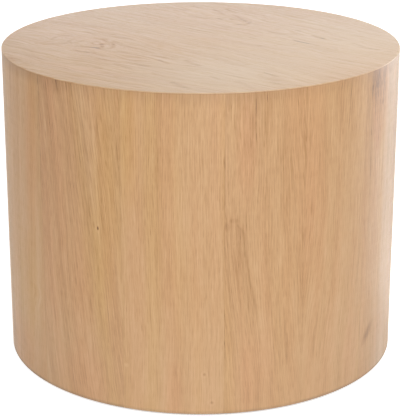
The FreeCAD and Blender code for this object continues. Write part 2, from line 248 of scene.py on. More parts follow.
def wall_sheet(name, span, joint_at):
    """A sheet rolled once round, open by a glue line at one angle."""
    gap = math.degrees(GLUE / span[0])
    sheet = upright_band(name, span[0], span[1], FLOOR_GAP, TOP_FACE - SKIN,
                         joint_at + gap / 2, 360 - gap, 240, 0.3 * MM, 0.1 * MM)
    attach(sheet, "drum")
    return sheet


rolled_outer = wall_sheet("rolled_outer_sheet", OUTER_SHEET, 90)
rolled_inner = wall_sheet("rolled_inner_sheet", INNER_SHEET, -90)
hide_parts("outer_wall_sheet")
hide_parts("inner_wall_sheet")
print("the frame inside the wall is", round(CORE / MM, 1), "mm in radius")

# %% [markdown]
# ## Cutting, joining and copying
#
# The small fittings are turned, drilled and threaded. A cut or a join of two solids is a Boolean modifier
# that is applied at once, which is what a person does with a second object as the cutter. A part that comes
# several times is made once at the middle of the drum, and each copy is then carried out to its place.
#
# Two solids that only touch leave a seam, so a piece that is joined on reaches a little into the other.

# %% Boolean, placing and copies
OVERLAP = 0.3 * MM


def combine(thing, other, operation):
    """Cuts the other object out of the thing, or joins it on, and takes the other away."""
    pick_object(thing)
    apply_modifier(thing, "BOOLEAN", object=other, operation=operation, solver="EXACT")
    bpy.data.objects.remove(other, do_unlink=True)


def rod(radius, bottom, top, sides=48, tip=None):
    """An upright cylinder, or a cone where its tip has another radius, on the drum's axis."""
    made = add(bpy.ops.mesh.primitive_cone_add, "rod", vertices=sides, radius1=radius,
               radius2=radius if tip is None else tip, depth=top - bottom,
               location=(0, 0, (bottom + top) / 2))
    apply_place()
    return made


def ease_edges(thing, level, size, segments=3):
    """Rounds the edges that lie at one height."""
    pick_object(thing)
    pick_parts(thing, "EDGE", lambda point: abs(point.z - level) < HAIR)
    edit(lambda: bpy.ops.mesh.bevel(offset=size, segments=segments))


def copy_out(thing, name, radius, angle, flip_at=None):
    """A copy with its own mesh, turned over about a height if asked, then carried out from the axis."""
    pick_object(thing)
    bpy.ops.object.duplicate()
    made = bpy.context.object
    made.name = made.data.name = name
    if flip_at is not None:
        made.rotation_euler = (math.pi, 0, 0)
        made.location = (0, 0, 2 * flip_at)
        apply_place()
    made.rotation_euler = (0, 0, math.radians(angle))
    made.location = (radius * math.cos(math.radians(angle)), radius * math.sin(math.radians(angle)), 0)
    apply_place()
    return made


def into_one(pieces, name):
    """Joins several pieces that the construction keeps as one node."""
    bpy.ops.object.select_all(action="DESELECT")
    for piece in pieces:
        piece.select_set(True)
    bpy.context.view_layer.objects.active = pieces[0]
    bpy.ops.object.join()
    pieces[0].name = pieces[0].data.name = name
    return pieces[0]


print("cutting, placing and copying are ready")

# %% [markdown]
# ## The frame of battens and rings
#
# Eight pine battens stand round the inside and carry the screws, and two rings of birch plywood hold the
# wall round. Their shape is right already in the construction model, holes and notches included, so a copy
# is merged into one clean surface and only its sharp edges are eased, as a sanding block does before the
# pieces are glued.

# %% Eased copies of the frame
def eased_copy(node, name, size):
    """A merged copy of a solid with its sharp edges rounded."""
    source = nodes[node]
    made = bpy.data.objects.new(name, source.data.copy())
    bpy.context.scene.collection.objects.link(made)
    made.data.name = name
    pick_object(made)
    edit(merge_doubles, lambda: bpy.ops.mesh.dissolve_limited(angle_limit=math.radians(0.5)))
    apply_modifier(made, "BEVEL", width=size, segments=2, limit_method="ANGLE", angle_limit=math.radians(40))
    settle(made, 20)
    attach(made, "drum")
    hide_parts(node)
    return made


frame_pieces = [eased_copy(f"batten_{number}", f"pine_batten_{number}", 0.8 * MM)
                for number in range(1, 9)]
base_board = eased_copy("base_ring", "ply_base_ring", 0.4 * MM)
middle_board = eased_copy("middle_ring", "ply_middle_ring", 0.4 * MM)
print(len(frame_pieces), "battens of", len(frame_pieces[0].data.polygons), "faces, base ring of",
      len(base_board.data.polygons))

# %% [markdown]
# ## Threads
#
# A thread is one small zigzag drawn up the side of a rod, one tooth after another, and then swept round
# once while it climbs by one tooth. Each tooth then meets the next one's start, so after merging there is a
# single helical surface. It is drawn a little too long, cut level at both ends with a bisect that fills the
# cut, and so closed. The Array and Screw modifiers do the two steps, and both are applied.
#
# A thread is small, and Blender's usual distances for merging and cutting are meant for large things. Left
# as they are, they would merge whole teeth, so each is set to a thousandth of a millimetre.

# %% A threaded rod
def threaded_rod(name, crest, root, pitch, bottom, top, steps=24):
    """A right-handed thread on the drum's axis, cut level at its bottom and top."""
    flat = pitch / 8
    flank = (pitch - 2 * flat) / 2
    start = bottom - 2 * pitch
    made = add(bpy.ops.mesh.primitive_plane_add, name, size=1, location=(0, 0, 0))
    edit(lambda: bpy.ops.mesh.merge(type="CENTER"),
         lambda: bpy.ops.transform.translate(value=(root, 0, start)), level="VERT")
    for move in ((0, 0, flat), (crest - root, 0, flank), (0, 0, flat), (root - crest, 0, flank)):
        edit(lambda: bpy.ops.mesh.extrude_region_move(TRANSFORM_OT_translate={"value": move}), level="VERT")
    apply_modifier(made, "ARRAY", use_relative_offset=False, use_constant_offset=True,
                   constant_offset_displace=(0, 0, pitch), count=int((top - bottom) / pitch) + 4,
                   use_merge_vertices=True, merge_threshold=TOUCHING)
    apply_modifier(made, "SCREW", screw_offset=pitch, steps=steps, render_steps=steps,
                   use_merge_vertices=True, merge_threshold=TOUCHING)
    for level, clear_above in ((top, True), (bottom, False)):
        edit(lambda: merge_doubles(2 * TOUCHING),
             lambda: bpy.ops.mesh.bisect(plane_co=(0, 0, level), plane_no=(0, 0, 1), use_fill=True,
                                         threshold=TOUCHING, clear_outer=clear_above,
                                         clear_inner=not clear_above))
    return settle(made, 25)


print("threads can be cut")

# %% [markdown]
# ## Wood screws
#
# Each batten is held by a countersunk screw from above and one from below. The lower ones show their heads
# under the base ring, with a cross recess. The screw is a cone for the head, a plain shank, a coarse thread
# and a pointed end, joined, and two crossed wedges cut the recess. A head alone would do for a picture, but a
# whole screw can be taken out and looked at, so it keeps its thread and its point.

# %% The screw's sizes
HEAD_RADIUS = 4.5 * MM
SHANK_RADIUS = 2.25 * MM
THREAD_ROOT = 1.55 * MM
THREAD_PITCH = 2.2 * MM
SCREW_LENGTH = 50 * MM
POINT_LENGTH = 6 * MM
POINT_RADIUS = 1.6 * MM
TIP_RADIUS = 0.1 * MM
THREAD_START = 20 * MM
SHANK_END = 20.4 * MM
RECESS_SIZE = (4.6 * MM, 1.0 * MM, 3.2 * MM)
RECESS_TAPER = 0.35
BASE_UNDERSIDE = 17 * MM
PANEL_TOP = TOP_FACE - SKIN
HEAD_DEPTH = HEAD_RADIUS - SHANK_RADIUS
SCREW_CIRCLE = CORE - 11 * MM
print("a screw is", SCREW_LENGTH / MM, "mm long, with a head", 2 * HEAD_RADIUS / MM, "mm across")

# %% One screw
screw = threaded_rod("screw", SHANK_RADIUS, THREAD_ROOT, THREAD_PITCH, BASE_UNDERSIDE + THREAD_START,
                     BASE_UNDERSIDE + SCREW_LENGTH - POINT_LENGTH, steps=20)
combine(screw, rod(POINT_RADIUS, BASE_UNDERSIDE + SCREW_LENGTH - POINT_LENGTH - OVERLAP,
                   BASE_UNDERSIDE + SCREW_LENGTH, 30, TIP_RADIUS), "UNION")
combine(screw, rod(SHANK_RADIUS - 0.1 * MM, BASE_UNDERSIDE + HEAD_DEPTH - OVERLAP,
                   BASE_UNDERSIDE + SHANK_END, 32), "UNION")
head = rod(HEAD_RADIUS, BASE_UNDERSIDE, BASE_UNDERSIDE + HEAD_DEPTH, 48, SHANK_RADIUS)
ease_edges(head, BASE_UNDERSIDE, 0.25 * MM)
combine(screw, head, "UNION")
for angle in (0, 90):
    wedge = add(bpy.ops.mesh.primitive_cube_add, "wedge", size=1, location=(0, 0, BASE_UNDERSIDE + 0.6 * MM))
    wedge.scale = RECESS_SIZE
    wedge.rotation_euler = (0, 0, math.radians(angle))
    apply_place()
    pick_parts(wedge, "VERT", lambda point: point.z > BASE_UNDERSIDE + 1 * MM)
    edit(lambda: bpy.ops.transform.resize(value=(RECESS_TAPER, RECESS_TAPER, 1)), level="VERT")
    combine(screw, wedge, "DIFFERENCE")
settle(screw, 25)
print("one screw has", len(screw.data.polygons), "faces")

# %% Sixteen screws
lower_screws = [copy_out(screw, "screw_copy", SCREW_CIRCLE, 45 * number) for number in range(8)]
upper_screws = [copy_out(screw, "screw_copy", SCREW_CIRCLE, 45 * number, (BASE_UNDERSIDE + PANEL_TOP) / 2)
                for number in range(8)]
lower_screws = into_one(lower_screws, "wood_screws_below")
upper_screws = into_one(upper_screws, "wood_screws_above")
for screws, node in ((lower_screws, "base_screws"), (upper_screws, "top_screws")):
    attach(screws, "drum")
    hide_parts(node)
bpy.data.objects.remove(screw, do_unlink=True)
print("a set of screws has", len(lower_screws.data.polygons), "faces")

# %% [markdown]
# ## Levelling feet
#
# A foot is a black nylon pad that holds a steel stud by its button and lets it turn, and the stud climbs
# into a T-nut pressed into the base ring. The pad starts as a low cylinder. Its upper face is drawn in to a
# shoulder, its edges are rounded as a moulding's are, and the pocket for the button is cut from inside.

# %% One pad
FOOT_CIRCLE = CORE - 48.5 * MM
PAD_RADIUS = 20 * MM
PAD_HEIGHT = 8 * MM
PAD_SHOULDER = 4.1 * MM
PAD_GROOVES = (12 * MM, 16 * MM)
POCKET_RADIUS = 8.3 * MM
POCKET_FLOOR = 2.6 * MM
POCKET_TOP = 5.2 * MM
STUD_RADIUS = 4 * MM
RUNNING_GAP = 0.3 * MM

pad = rod(PAD_RADIUS, 0, PAD_SHOULDER, 96)
pick_parts(pad, "FACE", lambda point: point.z > PAD_SHOULDER - HAIR)
shoulder_shrink = (PAD_RADIUS + POCKET_RADIUS) / 2 / PAD_RADIUS
edit(lambda: bpy.ops.mesh.extrude_region_move(
    TRANSFORM_OT_translate={"value": (0, 0, PAD_HEIGHT - PAD_SHOULDER)}),
     lambda: bpy.ops.transform.resize(value=(shoulder_shrink, shoulder_shrink, 1)), level="FACE")
ease_edges(pad, 0, 1.5 * MM, 5)
ease_edges(pad, PAD_SHOULDER, 1.2 * MM, 4)
ease_edges(pad, PAD_HEIGHT, 0.7 * MM, 4)
combine(pad, rod(STUD_RADIUS + RUNNING_GAP, POCKET_FLOOR + 0.1 * MM, PAD_HEIGHT + 1 * MM), "DIFFERENCE")
combine(pad, rod(POCKET_RADIUS, POCKET_FLOOR, POCKET_TOP), "DIFFERENCE")
for groove in PAD_GROOVES:
    ring = add(bpy.ops.mesh.primitive_torus_add, "groove", major_radius=groove, minor_radius=0.5 * MM,
               major_segments=96, minor_segments=10)
    combine(pad, ring, "DIFFERENCE")
settle(pad, 25)
print("the pad has", len(pad.data.polygons), "faces")

# %% [markdown]
# ### The stud
#
# The stud is a threaded rod with a hexagon for the spanner near its lower end, and under that a short neck
# and the round button that the pad holds. A lathe would round the hexagon too, so each part is made by
# itself and joined on. The hexagon's corners are cut back where it meets a chamfered cylinder, which is how
# the real one gets them: it is turned after the bar is rolled.

# %% One stud
BUTTON_RADIUS = 8 * MM
BUTTON_BOTTOM = 2.9 * MM
BUTTON_TOP = 4.9 * MM
HEX_BOTTOM = 9.2 * MM
HEX_TOP = 15.2 * MM
HEX_FLATS = 13 * MM
HEX_CORNERS = HEX_FLATS / 2 / math.cos(math.radians(30))
STUD_TOP = 42.2 * MM
STUD_PITCH = 1.25 * MM
STUD_THREAD_DEPTH = 0.7 * MM

stud = threaded_rod("stud", STUD_RADIUS, STUD_RADIUS - STUD_THREAD_DEPTH, STUD_PITCH,
                    HEX_TOP - OVERLAP, STUD_TOP)
envelope = rod(STUD_RADIUS + 0.5 * MM, HEX_TOP - 1 * MM, STUD_TOP)
ease_edges(envelope, STUD_TOP, 1.4 * MM, 1)
combine(stud, envelope, "INTERSECT")
hexagon = rod(HEX_CORNERS, HEX_BOTTOM, HEX_TOP, 6)
edit(lambda: turn_whole(30))
chamfered = rod(HEX_CORNERS + 0.05 * MM, HEX_BOTTOM, HEX_TOP, 64)
ease_edges(chamfered, HEX_BOTTOM, 0.8 * MM, 1)
ease_edges(chamfered, HEX_TOP, 0.8 * MM, 1)
combine(hexagon, chamfered, "INTERSECT")
combine(stud, hexagon, "UNION")
combine(stud, rod(STUD_RADIUS, BUTTON_TOP - OVERLAP, HEX_BOTTOM + OVERLAP), "UNION")
button = rod(BUTTON_RADIUS, BUTTON_BOTTOM, BUTTON_TOP, 64)
ease_edges(button, BUTTON_BOTTOM, 0.3 * MM)
combine(stud, button, "UNION")
settle(stud, 25)
print("the stud has", len(stud.data.polygons), "faces")

# %% [markdown]
# ### The T-nut
#
# A T-nut is a pressed steel flange with a threaded barrel. Its flange is cut in at four places, and the metal
# there stands up as prongs that bite into the board. The flange is a low cylinder, four blocks cut its
# notches, and a four-sided spike stands for each prong, because a bent strip would look no different once it
# is driven in. The bore is left smooth, since the stud that fills it hides its thread.

# %% One T-nut
NUT_BOTTOM = 15.5 * MM
NUT_RIM = 11 * MM
NOTCH_SIZE = (3.4 * MM, 3 * MM, 4 * MM)
PRONG_RADIUS = 1.5 * MM
PRONG_LENGTH = 7 * MM
PRONG_INSET = 2.6 * MM
BARREL_RADIUS = 5 * MM
BARREL_TOP = 28 * MM
BORE = STUD_RADIUS + 0.08 * MM

nut = rod(NUT_RIM, NUT_BOTTOM, BASE_UNDERSIDE, 96)
ease_edges(nut, NUT_BOTTOM, 0.5 * MM)
for number in range(4):
    notch = add(bpy.ops.mesh.primitive_cube_add, "notch", size=1,
                location=(NUT_RIM, 0, NUT_BOTTOM + 0.5 * MM))
    notch.scale = NOTCH_SIZE
    prong = rod(PRONG_RADIUS, BASE_UNDERSIDE - 0.8 * MM, BASE_UNDERSIDE + PRONG_LENGTH, 4, TIP_RADIUS)
    prong.location = (NUT_RIM - PRONG_INSET, 0, 0)
    for tool, operation in ((notch, "DIFFERENCE"), (prong, "UNION")):
        pick_object(tool)
        apply_place()
        edit(lambda: turn_whole(45 + 90 * number))
        combine(nut, tool, operation)
combine(nut, rod(BARREL_RADIUS, BASE_UNDERSIDE - OVERLAP, BARREL_TOP), "UNION")
combine(nut, rod(BORE, NUT_BOTTOM - 1 * MM, BARREL_TOP + 1 * MM), "DIFFERENCE")
settle(nut, 25)
print("the T-nut has", len(nut.data.polygons), "faces")

# %% [markdown]
# ### Four feet in their places
#
# One pad, one stud and one nut stand at the middle of the drum. Copies with meshes of their own are carried
# out to the four places, so that each foot can slide and turn by itself. The nuts never move from where
# they are pressed in, so all four are joined and ride with the drum.

# %% Four of each
feet = []
nuts = []
for number in range(1, 5):
    angle = 90 * (number - 1)
    for source, name, node, finish_slot in ((pad, "nylon_pad", "foot_pad", "nylon"),
                                            (stud, "levelling_stud", "foot_stud", "zinc_steel")):
        made = copy_out(source, f"{name}_{number}", FOOT_CIRCLE, angle)
        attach(made, f"foot_{number}_{node[5:]}")
        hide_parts(f"{node}_{number}")
        feet.append(made)
    nuts.append(copy_out(nut, "nut_copy", FOOT_CIRCLE, angle))
nuts = into_one(nuts, "pressed_t_nuts")
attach(nuts, "drum")
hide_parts("t_nuts")
for source in (pad, stud, nut):
    bpy.data.objects.remove(source, do_unlink=True)
print(len(feet), "foot pieces and", len(nuts.data.polygons), "faces of T-nuts")

# %% [markdown]
# ## Writing a finish as a sum
#
# A shader is a sum of masks, and node editors make sums hard to read. The small class below wraps a node's
# output so that `1 - mask * 0.5` adds the two Math nodes. Every other node is added by one method, which
# takes the node's type, its settings and what goes into its sockets.
#
# A metal or wooden surface is never quite flat, and a Bump node says so: its height is one more sum of
# masks, which the light then reads as tiny hollows and ridges.

# %% Wires
class Wire:
    """A node's output. Arithmetic on it adds Math nodes to its finish."""

    def __init__(self, finish, socket):
        self.finish, self.socket = finish, socket

    def maths(self, operation, *others):
        return self.finish.node("ShaderNodeMath", {"operation": operation}, [self, *others])

    def __add__(self, other):
        return self.maths("ADD", other)

    def __sub__(self, other):
        return self.maths("SUBTRACT", other)

    def __rsub__(self, other):
        return self.finish.node("ShaderNodeMath", {"operation": "SUBTRACT"}, [other, self])

    def __mul__(self, other):
        return self.maths("MULTIPLY", other)

    def __truediv__(self, other):
        return self.maths("DIVIDE", other)

    __radd__, __rmul__ = __add__, __mul__


print("a wire knows plus, minus, times and divided by")


# %% Finishes
class Finish:
    """A material or a world: its own shader and the nodes that feed it."""

    def __init__(self, name, values, world=None):
        self.material = world or bpy.data.materials.new(name)
        self.material.use_nodes = True
        self.tree = self.material.node_tree
        self.shader = next(node for node in self.tree.nodes if node.type in ("BSDF_PRINCIPLED", "BACKGROUND"))
        self.feed(self.shader, values)

    def feed(self, node, values):
        """Sets or links a node's sockets, given in order or by name."""
        for place, value in values.items() if isinstance(values, dict) else enumerate(values):
            if isinstance(value, Wire):
                self.tree.links.new(value.socket, node.inputs[place])
            else:
                node.inputs[place].default_value = value

    def node(self, kind, settings, values, output=0):
        """Adds a node with its settings and socket values, and gives one of its outputs."""
        made = self.tree.nodes.new(kind)
        for setting, value in settings.items():
            if setting == "stops":
                while len(made.color_ramp.elements) < len(value):
                    made.color_ramp.elements.new(1)
                for stop, (position, colour) in zip(made.color_ramp.elements, value):
                    stop.position, stop.color = position, (*colour, 1)
            else:
                setattr(made, setting, value)
        self.feed(made, values)
        return Wire(self, made.outputs[output])

    def place(self, turn=0.0):
        """The point's x, y and z in millimetres, after a turn about the drum's axis in degrees."""
        point = self.node("ShaderNodeTexCoord", {}, {}, "Object")
        point = self.node("ShaderNodeMapping", {}, {"Vector": point, "Rotation": (0, 0, math.radians(turn)),
                                                    "Scale": (1000, 1000, 1000)})
        return [self.node("ShaderNodeSeparateXYZ", {}, [point], axis) for axis in "XYZ"]

    def clouds(self, across, along, size, seed, detail=0.0):
        """Soft noise about 0, whose cells are so many millimetres across and along."""
        spot = self.node("ShaderNodeCombineXYZ", {},
                         [across / size[0] + seed * 7.31, along / size[1] + seed * 3.17])
        noise = self.node("ShaderNodeTexNoise", {"noise_dimensions": "2D"},
                          {"Vector": spot, "Scale": 1.0, "Detail": detail, "Roughness": 0.55})
        return noise - 0.5

    def ease(self, value, start, end):
        """0 below start, 1 above end, and a soft step between them."""
        return self.node("ShaderNodeMapRange", {"interpolation_type": "SMOOTHSTEP"},
                         [value, start, end, 0.0, 1.0])

    def blend(self, amount, first, second):
        """The first colour where amount is 0, the second where it is 1."""
        return self.node("ShaderNodeMix", {"data_type": "RGBA"}, {0: amount, 6: first, 7: second}, 2)

    def glaze_and_shade(self, tint, amount, glaze):
        """The colour seen through a coloured glaze, as strong as amount."""
        return self.node("ShaderNodeMix", {"data_type": "RGBA", "blend_type": "MULTIPLY"},
                         {0: amount, 6: tint, 7: glaze}, 2)

    def bump(self, strength, depth, height):
        """Hollows and ridges so many metres deep where the height goes from 0 to 1."""
        return self.node("ShaderNodeBump", {}, {"Strength": strength, "Distance": depth, "Height": height})


print("finishes can be written")

# %% [markdown]
# ## Oak
#
# Oak's figure comes from its growth rings. A tree is a stack of slightly tapering cones, and a leaf of
# veneer is a flat cut through them: far from the heart the rings show as near-straight lines, and close to
# it as nested arches. So the finish works out how far each point is from the tree's heart, and lets rings,
# colour streaks and pores follow that distance. That way the figure stays right wherever it is looked at,
# which a stretched noise on its own can't do.
#
# All lengths are in millimetres. Inside these functions f is the finish that is being mixed, and figure
# is one leaf's list of numbers:
#
# - seed picks another stretch of the same noise, and flip turns it over, for the second leaf of a
#   book-match.
# - heart is how far across the tree's heart lies, and depth how far under the cut. taper is how fast the
#   tree narrows, and lean how far the grain leans across for each millimetre along.
# - ring is the distance from one growth ring to the next. sway and ripple are how far the grain wanders,
#   slowly and quickly.
# - tone darkens the leaf, and hue makes it rosier. streaks, fine, bands and lines say how strong the colour
#   streaks, the fibre, the bands of pores and the long dark lines are, broken how often a band breaks off,
#   and shorter how many times shorter than usual the streaks are.
# - gloss is the shine, rim and foot are how much painted shade darkens the leaf at its upper and lower
#   edge, seams how pale its left and right seams are, and tones its four colours, from the palest to the
#   brown of a pore.

# %% The colours and numbers of a leaf
OAK_PALE = (0.67, 0.44, 0.255)
OAK_MIDDLE = (0.572, 0.338, 0.163)
OAK_DARK = (0.41, 0.215, 0.088)
OAK_BROWN = (0.13, 0.06, 0.025)
BLUSH = (1.02, 0.935, 0.925, 1.0)
GOLD = (1.0, 0.99, 0.84, 1.0)
SHEEN_VEIL = (0.705, 0.585, 0.435, 1.0)
SIDE_TONES = (OAK_PALE, OAK_MIDDLE, OAK_DARK, OAK_BROWN)
TOP_TONES = ((0.66, 0.43, 0.25), OAK_MIDDLE, (0.452, 0.203, 0.056), (0.17, 0.07, 0.02))
TONE_STOPS = (0, 0.45, 0.85, 1)

PLAIN = {"seed": 1.0, "heart": -400.0, "depth": 20.0, "taper": 0.0, "lean": 0.0, "ring": 3.2, "sway": 14.0,
         "ripple": 2.0, "tone": 0.0, "streaks": 1.0, "broken": 0.0, "fine": 1.0, "hue": 0.0, "bands": 0.06,
         "lines": 0.0, "foot": 0.4, "shorter": 1.0, "gloss": 0.5, "rim": 0.1, "flip": 1, "seams": (1.0, 1.0),
         "tones": SIDE_TONES}


def leaf_like(**numbers):
    """A leaf's numbers: the plain leaf's, with those given here in their place."""
    return {**PLAIN, **numbers}


print("an oak leaf is told by", ", ".join(PLAIN))


# %% Where a point lies in the tree
def in_the_tree(f, across, along, figure, wobbles):
    """How far across the bent grain a point lies, and how far it is from the tree's heart."""
    seed = figure["seed"]
    bent = (across * figure["flip"] + along * figure["lean"]
            + f.clouds(across, along, (70, 260), seed) * figure["sway"]
            + f.clouds(across, along, (14, 60), seed + 3) * figure["ripple"])
    for wobble in wobbles:
        bent = bent + f.clouds(across, along, (16, 22), seed + 31) * wobble(f, across, along)
    from_heart = bent - figure["heart"]
    reach = (from_heart * from_heart + figure["depth"] ** 2).maths("SQRT") + along * figure["taper"]
    return bent, reach


def pore_bands(f, bent, reach, along, figure):
    """The bands of large pores that each spring's growth leaves, broken here and there."""
    seed = figure["seed"]
    uneven = f.clouds(reach, along, (figure["ring"] * 4, 700), seed + 5) * 1.8
    phase = (reach / figure["ring"] + uneven).maths("FRACT")
    band = f.ease(phase, 0.02, 0.16) * (1 - f.ease(phase, 0.3, 0.66))
    gaps = f.ease(f.clouds(bent, along, (figure["ring"], 42), seed + 27, 1.0), -0.08, 0.16) * figure["broken"]
    return band * (1 - gaps)


def pale_seams(f, across, along, half_width, figure):
    """Flecks along both seams, where the glue has bleached the wood or a trimming cut has bruised it."""
    seams = 0
    for side, strength in zip((across + half_width, half_width - across), figure["seams"]):
        flecks = 0.5 + f.clouds(across, along, (50, 45), figure["seed"] + 23, 1.0) * 3.0
        seams = seams + (1 - f.ease(side, 0.2, 1.5)) * f.ease(flecks, 0.1, 1.0) * strength
    return seams


print("the grain can be bent round a heart")


# %% A leaf of oak
def paint_oak(f, across, along, half_width, figure, marks=(), blushes=(), golds=(), wobbles=(), painted_sheens=(),
              calm=None):
    """Colours, roughens and textures a leaf of oak whose grain runs along."""
    seed = figure["seed"]
    bent, reach = in_the_tree(f, across, along, figure, wobbles)
    pore_band = pore_bands(f, bent, reach, along, figure)
    broad = f.clouds(reach, along, (12, 330 / figure["shorter"]), seed + 7, 1.0)
    narrow = f.clouds(reach, along, (2.8, 90 / figure["shorter"]), seed + 9, 2.0)
    fibre = f.clouds(bent, along, (1.1, 24), seed + 11, 2.0)
    thread = f.clouds(bent, along, (0.7, 70), seed + 15, 1.0)
    dash = f.ease(f.clouds(bent, along, (0.45, 11), seed + 13), 0.04, 0.2)
    ray = f.ease(f.clouds(bent, along, (0.9, 8), seed + 17), 0.17, 0.25)

    dark = (0.5 + figure["tone"] + (broad * 0.7 + narrow * 0.62) * figure["streaks"]
            + (fibre * 0.75 + thread * 0.65) * figure["fine"]
            + pore_band * (figure["bands"] + dash * 0.2) + dash * 0.09 - ray * 0.08)
    if figure["lines"]:
        wide = f.clouds(bent, along, (5.5, 95), seed + 33, 1.0)
        slim = f.clouds(bent, along, (3.0, 60), seed + 35)
        dark = dark + (wide + slim * 0.6) * (1 - calm(f, across, along)) * figure["lines"]
    for mark in marks:
        dark = dark + mark(f, across, along)
    seams = pale_seams(f, across, along, half_width, figure)
    tint = f.node("ShaderNodeValToRGB", {"stops": list(zip(TONE_STOPS, figure["tones"]))},
                  [dark * 0.6 + 0.12 + seams * 0.12])
    rosy = f.ease(f.clouds(reach, along, (20, 520), seed + 19) + figure["hue"], -0.25, 0.25) * 0.4
    golden = f.ease(f.clouds(reach, along, (26, 420), seed + 21), -0.05, 0.3) * 0.5
    for blush in blushes:
        rosy = rosy + blush(f, across, along)
    for gold in golds:
        golden = golden + gold(f, across, along)
    tint = f.glaze_and_shade(f.glaze_and_shade(tint, rosy, BLUSH), golden, GOLD)
    # Each pale veil is painted sheen, laid over the wood's colour.
    for pale in painted_sheens:
        tint = f.blend(pale(f, across, along), tint, SHEEN_VEIL)
    f.feed(f.shader, {"Base Color": tint, "Specular IOR Level": figure["gloss"],
                      "Roughness": 0.4 + dash * 0.12 + narrow * 0.15,
                      "Normal": f.bump(0.5, 0.00006, 1 - dash * 0.8 - pore_band * 0.25 + fibre * 0.5)})
    return tint


print("a leaf runs through", len(TONE_STOPS), "tones")

# %% [markdown]
# ### Marks in the wood
#
# A pin knot is where a twig stood: a dark dot a few millimetres tall inside a paler ring. A dark streak is
# a run of mineral colour along the grain, and an arch is one ring cut across close to the heart. Each is a
# soft shape at a place on one leaf, and adds to how dark the wood is there. A soft patch is the most useful
# of them, because it can add to anything: to the dark, to the rosy or golden glaze, to a pale veil of painted
# sheen, or to how much the grain wobbles.

# %% Pin knots and soft patches
def pin_knot(at, size, depth=1.2):
    """A dark spot with a pale ring. at is (across, along) and size (width, height)."""
    def mark(f, across, along):
        x, y = (across - at[0]) / size[0], (along - at[1]) / size[1]
        away = (x * x + y * y).maths("SQRT")
        ring = 1 - f.ease((away - 1.2).maths("ABSOLUTE"), 0.1, 0.7)
        return (1 - f.ease(away, 0.3, 0.8)) * depth - ring * 0.16
    return mark


def patch(at, size, depth, lean=0.0, core=0.2):
    """A soft patch, darker where depth is positive. It leans that far across for each millimetre up."""
    def mark(f, across, along):
        y = (along - at[1]) / size[1]
        x = (across - at[0] - (along - at[1]) * lean) / size[0]
        return (1 - f.ease((x * x + y * y).maths("SQRT"), core, 1.0)) * depth
    return mark


print("knots and patches can be placed")


# %% Streaks and arches
def streak(start, end, bow, width, depth, hook=0.0):
    """A line of darker wood from start to end, both (across, along), bowed to one side."""
    def mark(f, across, along):
        run = (along - start[1]) / (end[1] - start[1])
        line = run * (end[0] - start[0]) + start[0]
        if bow:
            line = line + run * (1 - run) * bow
        if hook:
            line = line - (1 - f.ease(run, 0, 0.13)) * hook
        near = 1 - f.ease((across - line).maths("ABSOLUTE"), width * 0.2, width)
        return near * f.ease(run, 0, 0.15) * (1 - f.ease(run, 0.75, 1)) * depth
    return mark


def arch(tip, spread, width, depth, length):
    """A ring's arch, its tip at (across, along), open to lower along, or to higher if length is negative."""
    def mark(f, across, along):
        side = across - tip[0]
        back = (tip[1] - along) * math.copysign(1, length)
        slope = side / (spread / 2)
        away = (back - side * side / spread) / (slope * slope + 1).maths("SQRT")
        near = 1 - f.ease(away.maths("ABSOLUTE"), width * 0.2, width)
        return near * (1 - f.ease(back, abs(length) * 0.5, abs(length))) * depth
    return mark


print("streaks and arches can be placed")

# %% [markdown]
# ### Fourteen leaves
#
# Leaves that were cut one after the other from the same log carry the same figure, and every second one is
# turned over, so that two neighbours mirror each other. That is a book-match, and the flip of -1 makes it.
# Some leaves are paler, redder or straighter in the grain than others, and that unevenness is what tells
# veneer from a printed sheet.

# %% The leaves' figures
FIGURES = {
    1: leaf_like(rim=0.16, foot=0.25, seed=2.1, heart=-330, lean=0.05, ring=3.4, sway=16, tone=0.07,
                 streaks=0.85, fine=1.1, shorter=1.5, seams=(1.8, 1.5)),
    2: leaf_like(rim=0.12, seed=2.1, heart=-330, lean=0.05, ring=3.4, sway=16, tone=-0.03, streaks=0.8,
                 fine=1.1, shorter=1.5, flip=-1, seams=(1.0, 1.6)),
    3: leaf_like(rim=0.24, foot=0.3, seed=4.4, heart=260, lean=0.02, ring=3.8, tone=0.16, streaks=0.6,
                 seams=(1.6, 1.0)),
    4: leaf_like(seed=4.4, heart=260, lean=0.02, ring=3.8, flip=-1),
    5: leaf_like(seed=6.2, heart=-200, lean=-0.03),
    6: leaf_like(seed=6.2, heart=-200, lean=-0.03, flip=-1),
    7: leaf_like(seed=8.7, heart=20, depth=26, taper=0.05, ring=2.6),
    8: leaf_like(seed=8.7, heart=20, depth=26, taper=0.05, ring=2.6, flip=-1),
    9: leaf_like(seed=10.3, heart=-300, lean=0.04),
    10: leaf_like(seed=10.3, heart=-300, lean=0.04, flip=-1),
    11: leaf_like(seed=12.9, heart=90, depth=30, taper=-0.04, tone=-0.02),
    12: leaf_like(gloss=0.3, rim=0.25, foot=0.5, seed=12.9, heart=90, depth=30, taper=-0.04, tone=-0.05,
                  streaks=0.7, flip=-1, seams=(1.0, 1.8)),
    13: leaf_like(foot=0.35, seed=14.6, heart=-350, lean=0.105, tone=0.03, fine=1.25, hue=0.02,
                  seams=(1.8, 1.0)),
    14: leaf_like(rim=0.16, foot=0.2, seed=16.8, heart=-500, ring=2.6, sway=6, tone=-0.06, streaks=0.8,
                  fine=1.15, shorter=1.3, seams=(1.0, 1.8)),
}
print(sum(figure["flip"] < 0 for figure in FIGURES.values()), "leaves are turned over")
